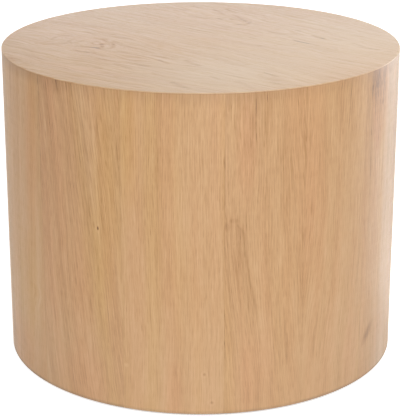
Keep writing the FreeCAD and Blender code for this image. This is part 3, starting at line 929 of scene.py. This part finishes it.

# %% [markdown]
# ### Where the marks sit
#
# A place on a leaf is (across, along): millimetres to the right of the leaf's middle line, and up from the
# floor. The leaves at the front carry the marks that make them this table's own: a cane-shaped line, a pin
# knot, a smudge of mineral, and broad parts that are redder or more golden than the rest. Some patches are
# painted light: paler parts are painted sheen, and darker parts at the drum's edges and under the rim are
# painted shade.

# %% Dark marks and painted shade
MARKS = {
    1: [streak((-29, 248), (-7, 117), -12, 2.6, 0.22, hook=9),
        streak((-31, 248), (-8, 105), -12, 7, 0.12, hook=6),
        patch((-33, 205), (12, 55), 0.12),
        patch((-39, 247), (8, 4.5), 0.28), patch((-46, 240), (6, 8), 0.3)],
    2: [patch((-39, 250), (5, 14), 0.25)],
    3: [patch((-30, 61), (12, 19), 0.5, 0.7, 0.1), patch((-16, 385), (34, 70), 0.2),
        streak((-6, 415), (-15, 286), 0, 14, 0.15), patch((-29, 396), (18, 48), 0.24),
        patch((-12, 390), (12, 36), 0.05),
        streak((-37, 400), (-36, 250), 0, 3.5, 0.2), patch((-26, 376), (24, 46), 0.05),
        patch((14, 372), (44, 50), 0.1)],
    # Leaf 4's broad patch is painted shade at the drum's right edge.
    4: [patch((-44, 200), (26, 400), 0.35, core=0.4)],
    12: [patch((50, 118), (14, 62), -0.12), patch((20, 100), (30, 90), -0.08),
         # The broad patch at -62 is painted shade at the drum's left edge.
         patch((-62, 200), (36, 500), 0.3, core=0.3),
         patch((-46, 25), (26, 70), 0.25), patch((0, 20), (60, 60), 0.1),
         patch((30, 230), (36, 260), -0.12, core=0.5)],
    13: [pin_knot((30.5, 228), (2.0, 4.0)), streak((22, 412), (34, 150), 6, 2.0, -0.34),
         # The two patches at along 398 are painted shade under the rim.
         streak((29, 412), (38, 190), 4, 2.4, 0.16), patch((-42, 398), (44, 30), 0.2),
         patch((-10, 398), (40, 20), 0.12), patch((-10, 20), (70, 60), 0.07)],
    14: [pin_knot((38, 55), (2.5, 3), 0.5), pin_knot((47, 18), (3, 3), 0.5), patch((-57, 60), (4, 4), -0.35),
         patch((-44, 200), (28, 400), -0.07, core=0.5)],
}
print(sum(len(marks) for marks in MARKS.values()), "dark marks are placed")

# %% Rosy, golden, painted sheen and wavy parts
BLUSHES = {
    1: [patch((-24, 330), (18, 90), 0.7), patch((-14, 55), (28, 80), 0.7)],
    2: [patch((-32, 250), (26, 150), 0.35), patch((30, 60), (24, 60), 0.3)],
    3: [patch((10, 40), (30, 60), 0.4), patch((-16, 370), (30, 90), 1.0, core=0.5)],
    12: [patch((40, 300), (24, 140), 0.7), patch((-10, 30), (70, 60), 0.9)],
    13: [patch((-40, 250), (34, 240), 0.55, core=0.5), patch((0, 130), (24, 120), 0.35),
         patch((0, 30), (60, 60), 0.7)],
    14: [patch((2, 30), (16, 60), 0.5)],
}
GOLDS = {
    1: [patch((34, 200), (34, 500), -0.4, core=0.5)],
    2: [patch((0, 200), (60, 500), -0.55, core=0.6)],
    3: [patch((-30, 180), (20, 240), -0.2, core=0.6), patch((-24, 380), (28, 70), 1.0),
        patch((-8, 350), (18, 90), 1.0), patch((20, 150), (30, 300), -0.2)],
    12: [patch((20, 120), (40, 100), 0.5), patch((-30, 200), (50, 300), 0.5)],
    13: [patch((38, 250), (22, 190), 0.9), patch((-30, 220), (44, 240), -0.6, core=0.5)],
    14: [patch((-50, 330), (16, 110), 0.6)],
}
# Leaf 3's pale band and pale foot are painted sheen.
PAINTED_SHEENS = {3: [patch((20, 250), (24, 300), 0.1, core=0.6), patch((10, 5), (34, 70), 0.22)]}
WOBBLES = {12: [patch((48, 118), (16, 66), 12)]}
print("rosy parts on leaves", *BLUSHES, "and golden ones on", *GOLDS)

# %% [markdown]
# ### Painted shade at the edges
#
# An upright leaf is painted darker under the rim, for the shade of the top's edge: it deepens slowly, with
# a thin darker line right below the top's edge that is partly a glue line and partly painted shade. The
# last millimetres over the floor are painted dark for the shade in the gap under the drum. These are
# worked out from the height alone and are the same all round, so they are laid over the finished oak,
# each leaf with its own strength.

# %% The fourteen leaves painted
OAK_SHADER = {"Roughness": 0.42, "IOR": 1.45}
# The two browns are painted shade: the first under the rim, the second in the gap at the foot.
RIM_SHADE_BROWN = (0.2, 0.1, 0.045, 1)
FOOT_SHADE_BROWN = (0.12, 0.09, 0.06, 1)
RIM_LINE = (396.2, 397.9)
RIM_SHADE = (380, 398)
FOOT_SHADE_BAND = (3.4, 8)


def shade_painted_above(f, across, along):
    """Painted shade: the leaf darkens a little towards the rim."""
    return f.ease(along, 120, 398) * 0.14


def sheen_painted_below(f, across, along):
    """Painted sheen: the leaf pales a little near the floor, for the floor's reflection."""
    return (1 - f.ease(along, 0, 180)) * 0.09


for number, (leaf, (start, end)) in enumerate(zip(leaves, leaf_joints), 1):
    finish = Finish(f"oak_leaf_{number}", OAK_SHADER)
    x, y, z = finish.place(turn=-(start + end) / 2)
    across = x.maths("ARCTAN2", 0 - y) * (RADIUS / MM)
    half_width = math.radians(end - start) / 2 * RADIUS / MM
    figure = FIGURES[number]
    tint = paint_oak(finish, across, z, half_width, figure, [*MARKS.get(number, ()), shade_painted_above],
                     BLUSHES.get(number, ()), GOLDS.get(number, ()), WOBBLES.get(number, ()),
                     [sheen_painted_below, *PAINTED_SHEENS.get(number, ())])
    # Painted shade under the top's edge: a slow darkening, and a thin line that is partly a glue line.
    glaze_and_shade = finish.ease(z, *RIM_LINE) * 0.16 + finish.ease(z, *RIM_SHADE) * figure["rim"]
    tint = finish.blend(glaze_and_shade, tint, RIM_SHADE_BROWN)
    # Painted shade of the gap under the drum, over the leaf's lowest millimetres.
    foot_shade = (1 - finish.ease(z, *FOOT_SHADE_BAND)) * figure["foot"]
    finish.feed(finish.shader, {"Base Color": finish.blend(foot_shade, tint, FOOT_SHADE_BROWN)})
    leaf.data.materials.append(finish.material)
print(len(FIGURES), "leaves painted")

# %% [markdown]
# ### The top
#
# The top's two leaves are crown cut, so their lines are few and broad: broken brown lines a centimetre or
# two apart, pointed arches where the cut came closest to the heart, and a small curl on the left where the
# grain ran round a bud. The short dark lines and the arches are listed one by one, as (across, along) from
# the middle of the top. Softer lines between them come from the noise, weaker in a calm patch at the middle.

# %% The top's figures
TOP_FIGURES = {
    "right": leaf_like(seed=21.3, heart=121, depth=10, taper=0.13, lean=-0.1, ring=7.0, sway=14, ripple=5,
                       streaks=0.5, bands=0.12, broken=0.8, fine=0.6, lines=0.8, hue=-0.15, tones=TOP_TONES),
    "left": leaf_like(seed=23.9, heart=-83, depth=12, taper=0.115, lean=-0.165, ring=8.0, sway=26, ripple=9,
                      streaks=0.6, bands=0.16, broken=0.7, fine=0.6, lines=0.9, hue=-0.15, tones=TOP_TONES),
}
print("the top has", " and ".join(TOP_FIGURES), "leaves")

# %% The top's short lines
# A line is told by where it starts and ends, how wide it is and how dark.
TOP_LINES = {
    "left": [
        ((-191, -130), (-184, -20), 6, 0.35), ((-150, -74), (-136, -33), 5, 0.45),
        ((-75, -150), (-80, -110), 5, 0.35), ((-80, -100), (-82, -83), 5, 0.3),
        ((-81, -82), (-82, -26), 5, 0.5), ((-109, -34), (-107, -8), 5, 0.35),
        ((-154, -16), (-136, 24), 5, 0.4), ((-136, 16), (-129, 66), 5, 0.6),
        ((-155, 16), (-148, 58), 5, 0.45), ((-177, -2), (-179, 35), 5, 0.4),
        ((-185, -22), (-180, 8), 6, 0.3), ((-90, 13), (-87, 44), 4, 0.35),
        ((-100, 36), (-101, 69), 4.5, 0.55), ((-79, 34), (-78, 51), 4, 0.35),
        ((-77, 58), (-82, 100), 5, 0.65), ((-102, 97), (-102, 112), 4, 0.4),
        ((-147, 80), (-143, 115), 5, 0.45), ((-139, 108), (-137, 138), 5, 0.4),
        ((-155, 128), (-156, 173), 5.5, 0.55), ((-102, 136), (-105, 162), 4.5, 0.55),
        ((-77, 120), (-74, 145), 4.5, 0.3), ((-80, 150), (-78, 186), 5, 0.35),
        ((-95, 172), (-103, 221), 6, 0.45), ((-46, 164), (-46, 197), 5, 0.45),
        ((-29, 13), (-29, 38), 4, 0.25), ((-42, 30), (-41, 52), 4, 0.25), ((-66, 202), (-68, 225), 5, 0.35),
        ((-145, 10), (-138, 54), 3, -0.35), ((-160, 18), (-155, 62), 3, -0.35),
    ],
    "right": [
        ((105, 8), (113, 45), 3.5, 0.5), ((94, 34), (95, 63), 3.5, 0.5), ((99, 62), (100, 101), 3.2, 1.0),
        ((135, 60), (132, 92), 4.5, 0.9), ((138, 86), (142, 114), 4, 0.55),
        ((142, 122), (142, 154), 4, 0.6), ((138, 160), (144, 178), 3, 0.45),
        ((141, 182), (147, 194), 2.6, 0.7), ((138, 25), (138, 39), 5, 0.55),
        ((101, 95), (100, 114), 4, 0.4), ((109, 120), (107, 142), 4, 0.5), ((73, 135), (70, 159), 4, 0.25),
        ((165, 44), (165, 58), 4, 0.35), ((151, -54), (143, -24), 4, 0.4),
        ((138, -102), (125, -44), 4, 0.55), ((97, -110), (122, -66), 4, 0.45),
        ((141, -144), (129, -102), 4.5, 0.5), ((155, -134), (150, -97), 4.5, 0.4),
        ((94, -204), (107, -176), 5, 0.4), ((92, -138), (96, -95), 4.5, 0.4),
        ((134, -180), (136, -160), 6, 0.45), ((67, 15), (66, 35), 4, 0.35),
    ],
}
LINE_STRENGTH = 0.75
print([f"{len(lines)} lines on the {side}" for side, lines in TOP_LINES.items()])

# %% The top's arches and patches
TOP_MARKS = {
    "left": [arch((-115, -57), 9, 4.5, 0.42, 34), arch((-107, -46), 14, 4, 0.3, 26),
             arch((-135, -106), 25, 4.5, 0.3, 14), arch((-120, -101), 60, 4.5, 0.35, 5),
             arch((-119, -142), 25, 4.5, 0.35, -14)],
    "right": [arch((115, -41), 24, 4, 0.45, 12), patch((106, -86), (5, 8), 0.3),
              patch((117, -77), (4, 6), 0.25), patch((109, -164), (10, 15), 0.35),
              patch((43, 63), (6, 9), 0.3)],
}
# These pale patches on the top are painted sheen.
TOP_PAINTED_SHEENS = [patch((152, 131), (270, 270), 0.3, core=0.0), patch((-100, 160), (210, 200), 0.42, core=0.0)]
TOP_WOBBLES = {"left": [patch((-118, -98), (46, 70), 30)], "right": []}
TOP_CALM = patch((-10, 20), (95, 150), 0.6, core=0.3)
print(sum(len(marks) for marks in TOP_MARKS.values()), "arches and patches on the top")

# %% The top painted
# The cream band at the rounded rim is a painted highlight.
RIM_HIGHLIGHT_CREAM = (0.8, 0.6, 0.4, 1)
RIM_HIGHLIGHT_BAND = (248.2, 249.4)

for side, leaf in (("right", top_right), ("left", top_left)):
    finish = Finish(f"oak_top_{side}", OAK_SHADER)
    along, across, z = finish.place(turn=-GRAIN_ANGLE)
    across = across + finish.clouds(across, along, (26, 40), 27.0) * 6
    lines = [streak(start, end, 0, width, depth * LINE_STRENGTH)
             for start, end, width, depth in TOP_LINES[side]]
    tint = paint_oak(finish, across, along, 400, TOP_FIGURES[side], TOP_MARKS[side] + lines,
                     wobbles=TOP_WOBBLES[side], painted_sheens=TOP_PAINTED_SHEENS, calm=TOP_CALM)
    from_axis = (across * across + along * along).maths("SQRT")
    # A painted highlight on the rounded rim.
    rim_highlight = finish.ease(from_axis, *RIM_HIGHLIGHT_BAND) * 0.05
    finish.feed(finish.shader, {"Base Color": finish.blend(rim_highlight, tint, RIM_HIGHLIGHT_CREAM)})
    leaf.data.materials.append(finish.material)
print("top painted with", sum(len(lines) for lines in TOP_LINES.values()), "lines")

# %% [markdown]
# ## Ply
#
# Plywood is told from solid wood by its edges. The finish cuts the board into layers by height, or by
# radius where the sheet is rolled, and turns the grain by a right angle from each layer to the next. A layer
# whose grain meets the surface end on is darker, and a thin dark line of glue parts two layers. Nothing has
# to be said about faces: a face lies within one layer, so it takes that layer's grain by itself.

# %% Layers and grain
BIRCH_PALE, BIRCH_DEEP, BIRCH_GLUE = (0.76, 0.57, 0.36, 1), (0.6, 0.39, 0.2, 1), (0.2, 0.1, 0.05, 1)
BENDING_PALE, BENDING_DEEP, BENDING_GLUE = (0.67, 0.45, 0.27, 1), (0.5, 0.29, 0.15, 1), (0.16, 0.08, 0.04, 1)
BIRCH_LAYER = 1.385
BENDING_LAYER = 1.67
MIDDLE_UNDERSIDE = 198.25


def wood_lines(f, across, along, seed):
    """Grain of a plain soft-figured wood, from 0 to 1: slow bands, fine fibre and short pores."""
    slow = f.clouds(across, along, (14, 190), seed, 2.0)
    fibre = f.clouds(across, along, (0.9, 26), seed + 3, 2.0)
    return f.ease(slow * 1.1 + fibre * 0.8, -0.3, 0.34)


def paint_ply(f, depth_in, along, around, thickness, pale, deep, glue, seed):
    """Layers of veneer by depth. along and around are the two ways in which the board's grain can run."""
    layer = (depth_in / thickness).maths("FLOOR")
    crossed = (layer * 0.5).maths("FRACT") * 2
    lengthways = wood_lines(f, around, along, seed)
    crossways = wood_lines(f, along, around, seed + 9)
    grain = lengthways + (crossways - lengthways) * crossed
    tone = f.blend(grain, pale, deep)
    end_grain = f.ease(f.clouds(around, along, (0.8, 0.8), seed + 5, 1.0), -0.1, 0.3)
    tone = f.glaze_and_shade(tone, crossed * (0.55 + end_grain * 0.3), (0.72, 0.62, 0.52, 1))
    within = (depth_in / thickness).maths("FRACT")
    line = 1 - f.ease(within.maths("PINGPONG", 0.5), 0.01, 0.09)
    tone = f.blend(line * 0.6, tone, glue)
    f.feed(f.shader, {"Base Color": tone, "Roughness": 0.55 + grain * 0.15,
                      "Normal": f.bump(0.4, 0.00008, 1 - grain * 0.6 - line * 0.5)})


print("a layer of birch is", BIRCH_LAYER, "mm thick")

# %% Rings and sheets painted
for name, board, level in (("birch_base", base_board, BASE_UNDERSIDE / MM),
                           ("birch_middle", middle_board, MIDDLE_UNDERSIDE)):
    finish = Finish(name, {"IOR": 1.45})
    x, y, z = finish.place(turn=20)
    paint_ply(finish, z - level, x, y, BIRCH_LAYER, BIRCH_PALE, BIRCH_DEEP, BIRCH_GLUE, 31.0)
    board.data.materials.append(finish.material)

for name, sheet, span, turn in (("bending_outer", rolled_outer, OUTER_SHEET, 0),
                                ("bending_inner", rolled_inner, INNER_SHEET, 180)):
    finish = Finish(name, {"IOR": 1.45})
    x, y, z = finish.place(turn=turn)
    from_axis = (x * x + y * y).maths("SQRT")
    around = y.maths("ARCTAN2", x) * (span[0] / MM)
    paint_ply(finish, from_axis - span[0] / MM, z, around, BENDING_LAYER,
              BENDING_PALE, BENDING_DEEP, BENDING_GLUE, 37.0)
    sheet.data.materials.append(finish.material)
print("ply painted on two rings and two sheets")

# %% [markdown]
# ### Pine, backing veneer and fibreboard
#
# A batten is sawn from solid pine, so its growth rings run right through it. The finish measures the
# distance to a heart that lies outside the batten, and the same rings then meet on its faces and at its
# ends. The backing veneer under the top is a plain leaf of oak left raw, and the fibreboard is a felt of
# fine fibres with no grain at all.

# %% Pine battens
PINE_PALE, PINE_LATE = (0.78, 0.55, 0.3, 1), (0.6, 0.34, 0.13, 1)
for number, batten in enumerate(frame_pieces, 1):
    finish = Finish(f"pine_{number}", {"IOR": 1.45})
    x, y, z = finish.place(turn=-45 * (number - 1))
    seed = 41.0 + number * 1.7
    sway = finish.clouds(z * 0.25, x + y, (50, 60), seed) * 6
    heart_x = x - (300 + number * 7 % 40) + sway
    heart_y = y - (number * 11 % 30 - 15)
    from_heart = (heart_x * heart_x + heart_y * heart_y).maths("SQRT")
    ring = from_heart / 3.1 + finish.clouds(x, z, (30, 300), seed + 2)
    phase = ring.maths("FRACT")
    late = finish.ease(phase, 0.25, 0.9) * (1 - finish.ease(phase, 0.9, 1.0))
    fibre = finish.clouds(x * 2 + y * 2, z, (1.4, 40), seed + 4, 2.0)
    tone = finish.blend(late * 0.75 + fibre * 0.5, PINE_PALE, PINE_LATE)
    finish.feed(finish.shader, {"Base Color": tone, "Roughness": 0.6 - late * 0.1,
                                "Normal": finish.bump(0.4, 0.0001, late * 0.6 + fibre)})
    batten.data.materials.append(finish.material)
print(len(frame_pieces), "battens painted")

# %% Backing veneer and fibreboard
finish = Finish("raw_backing", {"IOR": 1.4})
along, across, z = finish.place(turn=-GRAIN_ANGLE)
paint_oak(finish, across, along, 400, leaf_like(seed=51.0, heart=-40, depth=22, taper=0.1, ring=6.5,
                                                sway=24, tone=0.08, bands=0.22))
raw_backing = finish.material

finish = Finish("felted_fibreboard", {"IOR": 1.4})
x, y, z = finish.place()
speck = finish.clouds(x + z * 3, y - z * 2, (0.8, 0.8), 53.0, 3.0)
bits = finish.clouds(x, y + z, (5, 2), 55.0, 2.0)
felt = finish.blend(finish.ease(speck + bits, -0.3, 0.3), (0.42, 0.26, 0.14, 1), (0.3, 0.17, 0.085, 1))
finish.feed(finish.shader, {"Base Color": felt, "Roughness": 0.85 + speck * 0.1,
                            "Normal": finish.bump(0.3, 0.0001, speck)})
fibreboard = finish.material
for node, material in (("top_backing_veneer", raw_backing), ("top_panel", fibreboard)):
    nodes[node].data.materials.clear()
    nodes[node].data.materials.append(material)
print("backing and panel painted")

# %% [markdown]
# ### Plated steel and nylon
#
# Zinc plate is a bright metal with a faint bloom: cloudy patches that are a little rougher, and hairline
# scratches from the barrel it was plated in. The yellow kind has a thin film that runs from gold to a
# greenish and a rosy tint. The pads are black nylon, matt from the mould, with fine scuffs where they slide.

# %% Metal and plastic
def plated(name, pale, deep, film, seed):
    """Plated steel: bloom, scratches and a faint tint of film."""
    f = Finish(name, {"Metallic": 1.0})
    x, y, z = f.place()
    bloom = f.ease(f.clouds(x + z * 1.7, y - z * 1.3, (5, 5), seed, 3.0), -0.25, 0.25)
    scratch = f.ease(f.clouds(x * 0.8 + z, y * 0.6 - z, (0.12, 5), seed + 2), 0.12, 0.25)
    tint = f.blend(f.ease(f.clouds(x - z, y + z, (3, 3), seed + 4, 1.0), -0.2, 0.2) * 0.6, pale, film)
    tint = f.blend(bloom * 0.5, tint, deep)
    f.feed(f.shader, {"Base Color": tint, "Roughness": 0.26 + bloom * 0.18 + scratch * 0.12,
                      "Normal": f.bump(0.3, 0.00003, bloom * 0.4 - scratch)})
    return f.material


zinc = plated("bright_zinc", (0.72, 0.74, 0.76, 1), (0.55, 0.56, 0.57, 1), (0.66, 0.7, 0.76, 1), 61.0)
yellow_zinc = plated("yellow_zinc", (0.76, 0.6, 0.26, 1), (0.6, 0.46, 0.2, 1), (0.72, 0.52, 0.4, 1), 67.0)
print("two kinds of zinc:", zinc.name, "and", yellow_zinc.name)

# %% Nylon, and the fittings painted
NYLON_BLACK = (0.018, 0.018, 0.019, 1)
NYLON_WORN = (0.085, 0.083, 0.08, 1)
nylon = Finish("moulded_nylon", {"IOR": 1.5})
x, y, z = nylon.place()
grit = nylon.clouds(x + z * 2, y - z * 2, (0.5, 0.5), 71.0, 2.0)
scuff = nylon.ease(nylon.clouds(x + y, y - x, (1.2, 14), 73.0, 1.0), 0.1, 0.3) * (1 - nylon.ease(z, 0.1, 1.2))
worn = nylon.blend(scuff * 0.6 + nylon.ease(grit, -0.2, 0.3) * 0.15, NYLON_BLACK, NYLON_WORN)
nylon.feed(nylon.shader, {"Base Color": worn, "Roughness": 0.42 + grit * 0.12 + scuff * 0.2,
                          "Normal": nylon.bump(0.25, 0.00005, grit - scuff * 0.5)})
for piece in feet:
    piece.data.materials.append(nylon.material if piece.name.startswith("nylon") else zinc)
nuts.data.materials.append(zinc)
for screws in (lower_screws, upper_screws):
    screws.data.materials.append(yellow_zinc)
print("fittings painted")

# %% [markdown]
# ## The room
#
# The table stands on a plain pale floor under soft light, as in a catalogue. The floor is white enough to
# be lost in the background: a glow, seen by the camera and in reflections alone, lifts it there, while its
# plain white paint still takes the table's faint shadow. The glow stops short of the drum's lower edge, so
# that the contact stays dark. Under the drum and from below the floor is clear, so the feet can be seen.

# %% Floor
FLOOR_WHITE = (0.73, 0.73, 0.73, 1)
FLOOR_GLOW = 0.85
GLOW_STARTS = (241, 248.5)
HOLE_ENDS = (236, 237)

floor = add(bpy.ops.mesh.primitive_plane_add, "floor", size=24, location=(0, 0, 0))
ground = Finish("floor", {})
ground.tree.nodes.remove(ground.shader)
rays = [ground.node("ShaderNodeLightPath", {}, {}, f"Is {kind} Ray")
        for kind in ("Camera", "Glossy", "Transmission")]
seen = (rays[0] + rays[1] + rays[2]).maths("MINIMUM", 1.0)
x, y, z = ground.place()
from_axis = (x * x + y * y).maths("SQRT")
diffuse = ground.node("ShaderNodeBsdfDiffuse", {}, {"Color": FLOOR_WHITE})
glow = ground.node("ShaderNodeEmission", {}, {
    "Color": (1, 1, 1, 1), "Strength": seen * ground.ease(from_axis, *GLOW_STARTS) * FLOOR_GLOW})
lit = ground.node("ShaderNodeAddShader", {}, [diffuse, glow])
below = ground.node("ShaderNodeNewGeometry", {}, {}, "Backfacing")
under_drum = 1 - ground.ease(from_axis, *HOLE_ENDS)
clear = ground.node("ShaderNodeBsdfTransparent", {}, {})
surface = ground.node("ShaderNodeMixShader", {}, [below.maths("MAXIMUM", under_drum), lit, clear])
output = next(node for node in ground.tree.nodes if node.type == "OUTPUT_MATERIAL")
ground.feed(output, {"Surface": surface})
floor.data.materials.append(ground.material)
print("the floor is clear inside a radius of", HOLE_ENDS[0], "mm")

# %% [markdown]
# ### Light from all round
#
# Much of a studio's light comes back from its white walls, and the world stands for them. To the camera and
# in reflections it is plain white, and as light on the table it has about half that strength, so pale wood
# keeps its colour.

# %% The white room
AMBIENT = 0.46
bpy.context.scene.world = bpy.data.worlds.new("soft_room")
room = Finish("soft_room", {"Color": (1, 1, 1, 1)}, bpy.context.scene.world)
rays = [room.node("ShaderNodeLightPath", {}, {}, f"Is {kind} Ray") for kind in ("Camera", "Glossy")]
seen = (rays[0] + rays[1]).maths("MINIMUM", 1.0)
room.feed(room.shader, {"Strength": seen * (1 - AMBIENT) + AMBIENT})
print("the room lights the table at", AMBIENT, "of white")

# %% [markdown]
# ### Lamps
#
# The lamps give the drum its shape. A broad one stands in front, one at the left and one behind. A low one
# at the right is for the veneer's sheen alone, so it is left out of the diffuse light, and a small one hangs
# over the top. The last is a narrow one that lifts the floor behind the table.

# %% Six lamps
LAMP_AIM = Vector((0, 0, 0.2))


def softbox(name, location, size, power):
    """A broad lamp that looks at the table."""
    light = bpy.data.lights.new(name, "AREA")
    light.shape = "RECTANGLE"
    light.size, light.size_y = size
    light.energy = power
    lamp = bpy.data.objects.new(name, light)
    bpy.context.scene.collection.objects.link(lamp)
    lamp.location = location
    lamp.rotation_euler = (LAMP_AIM - Vector(location)).to_track_quat("-Z", "Y").to_euler()
    lamp.visible_camera = False
    return lamp


softbox("front_lamp", (0.9, -2.9, 0.37), (2.4, 1.2), 48)
softbox("left_lamp", (-2.5, -1.7, 0.5), (1.6, 1.2), 14.5)
softbox("back_lamp", (0.5, 3.0, 1.35), (2.8, 1.8), 18.5)
sheen = softbox("sheen_lamp", (2.42, 1.62, 0.2), (1.0, 0.4), 42)
sheen.visible_diffuse = False
softbox("top_lamp", (0.4, -0.4, 1.1), (0.6, 0.4), 2.5)
floor_lamp = softbox("floor_lamp", (0.8, 0.38, 1.0), (1.0, 0.3), 1.8)
floor_lamp.rotation_euler = (0, 0, math.radians(40))
floor_lamp.data.spread = math.radians(25)
print(len(bpy.data.lights), "lamps are hung")

# %% [markdown]
# ## The camera
#
# The table is seen from a little above, 19 degrees over level, through a long lens, so its sides hardly
# draw together. The camera aims a little below the middle of the drum, which then stands slightly above the
# middle of the picture.

# %% Camera
AIM = Vector((-0.0008, 0, 0.1775))
ELEVATION = math.radians(19.01)
DISTANCE = 2.081
LENS = 137.7
SENSOR = 36

eye = bpy.data.cameras.new("camera")
eye.lens = LENS
eye.sensor_width = SENSOR
camera = bpy.data.objects.new("camera", eye)
bpy.context.scene.collection.objects.link(camera)
camera.location = AIM + DISTANCE * Vector((0, -math.cos(ELEVATION), math.sin(ELEVATION)))
camera.rotation_euler = (math.pi / 2 - ELEVATION, 0, 0)
bpy.context.scene.camera = camera
bpy.context.scene.view_settings.view_transform = "Standard"
print("the lens is", LENS, "mm long, and the camera", DISTANCE, "m away")
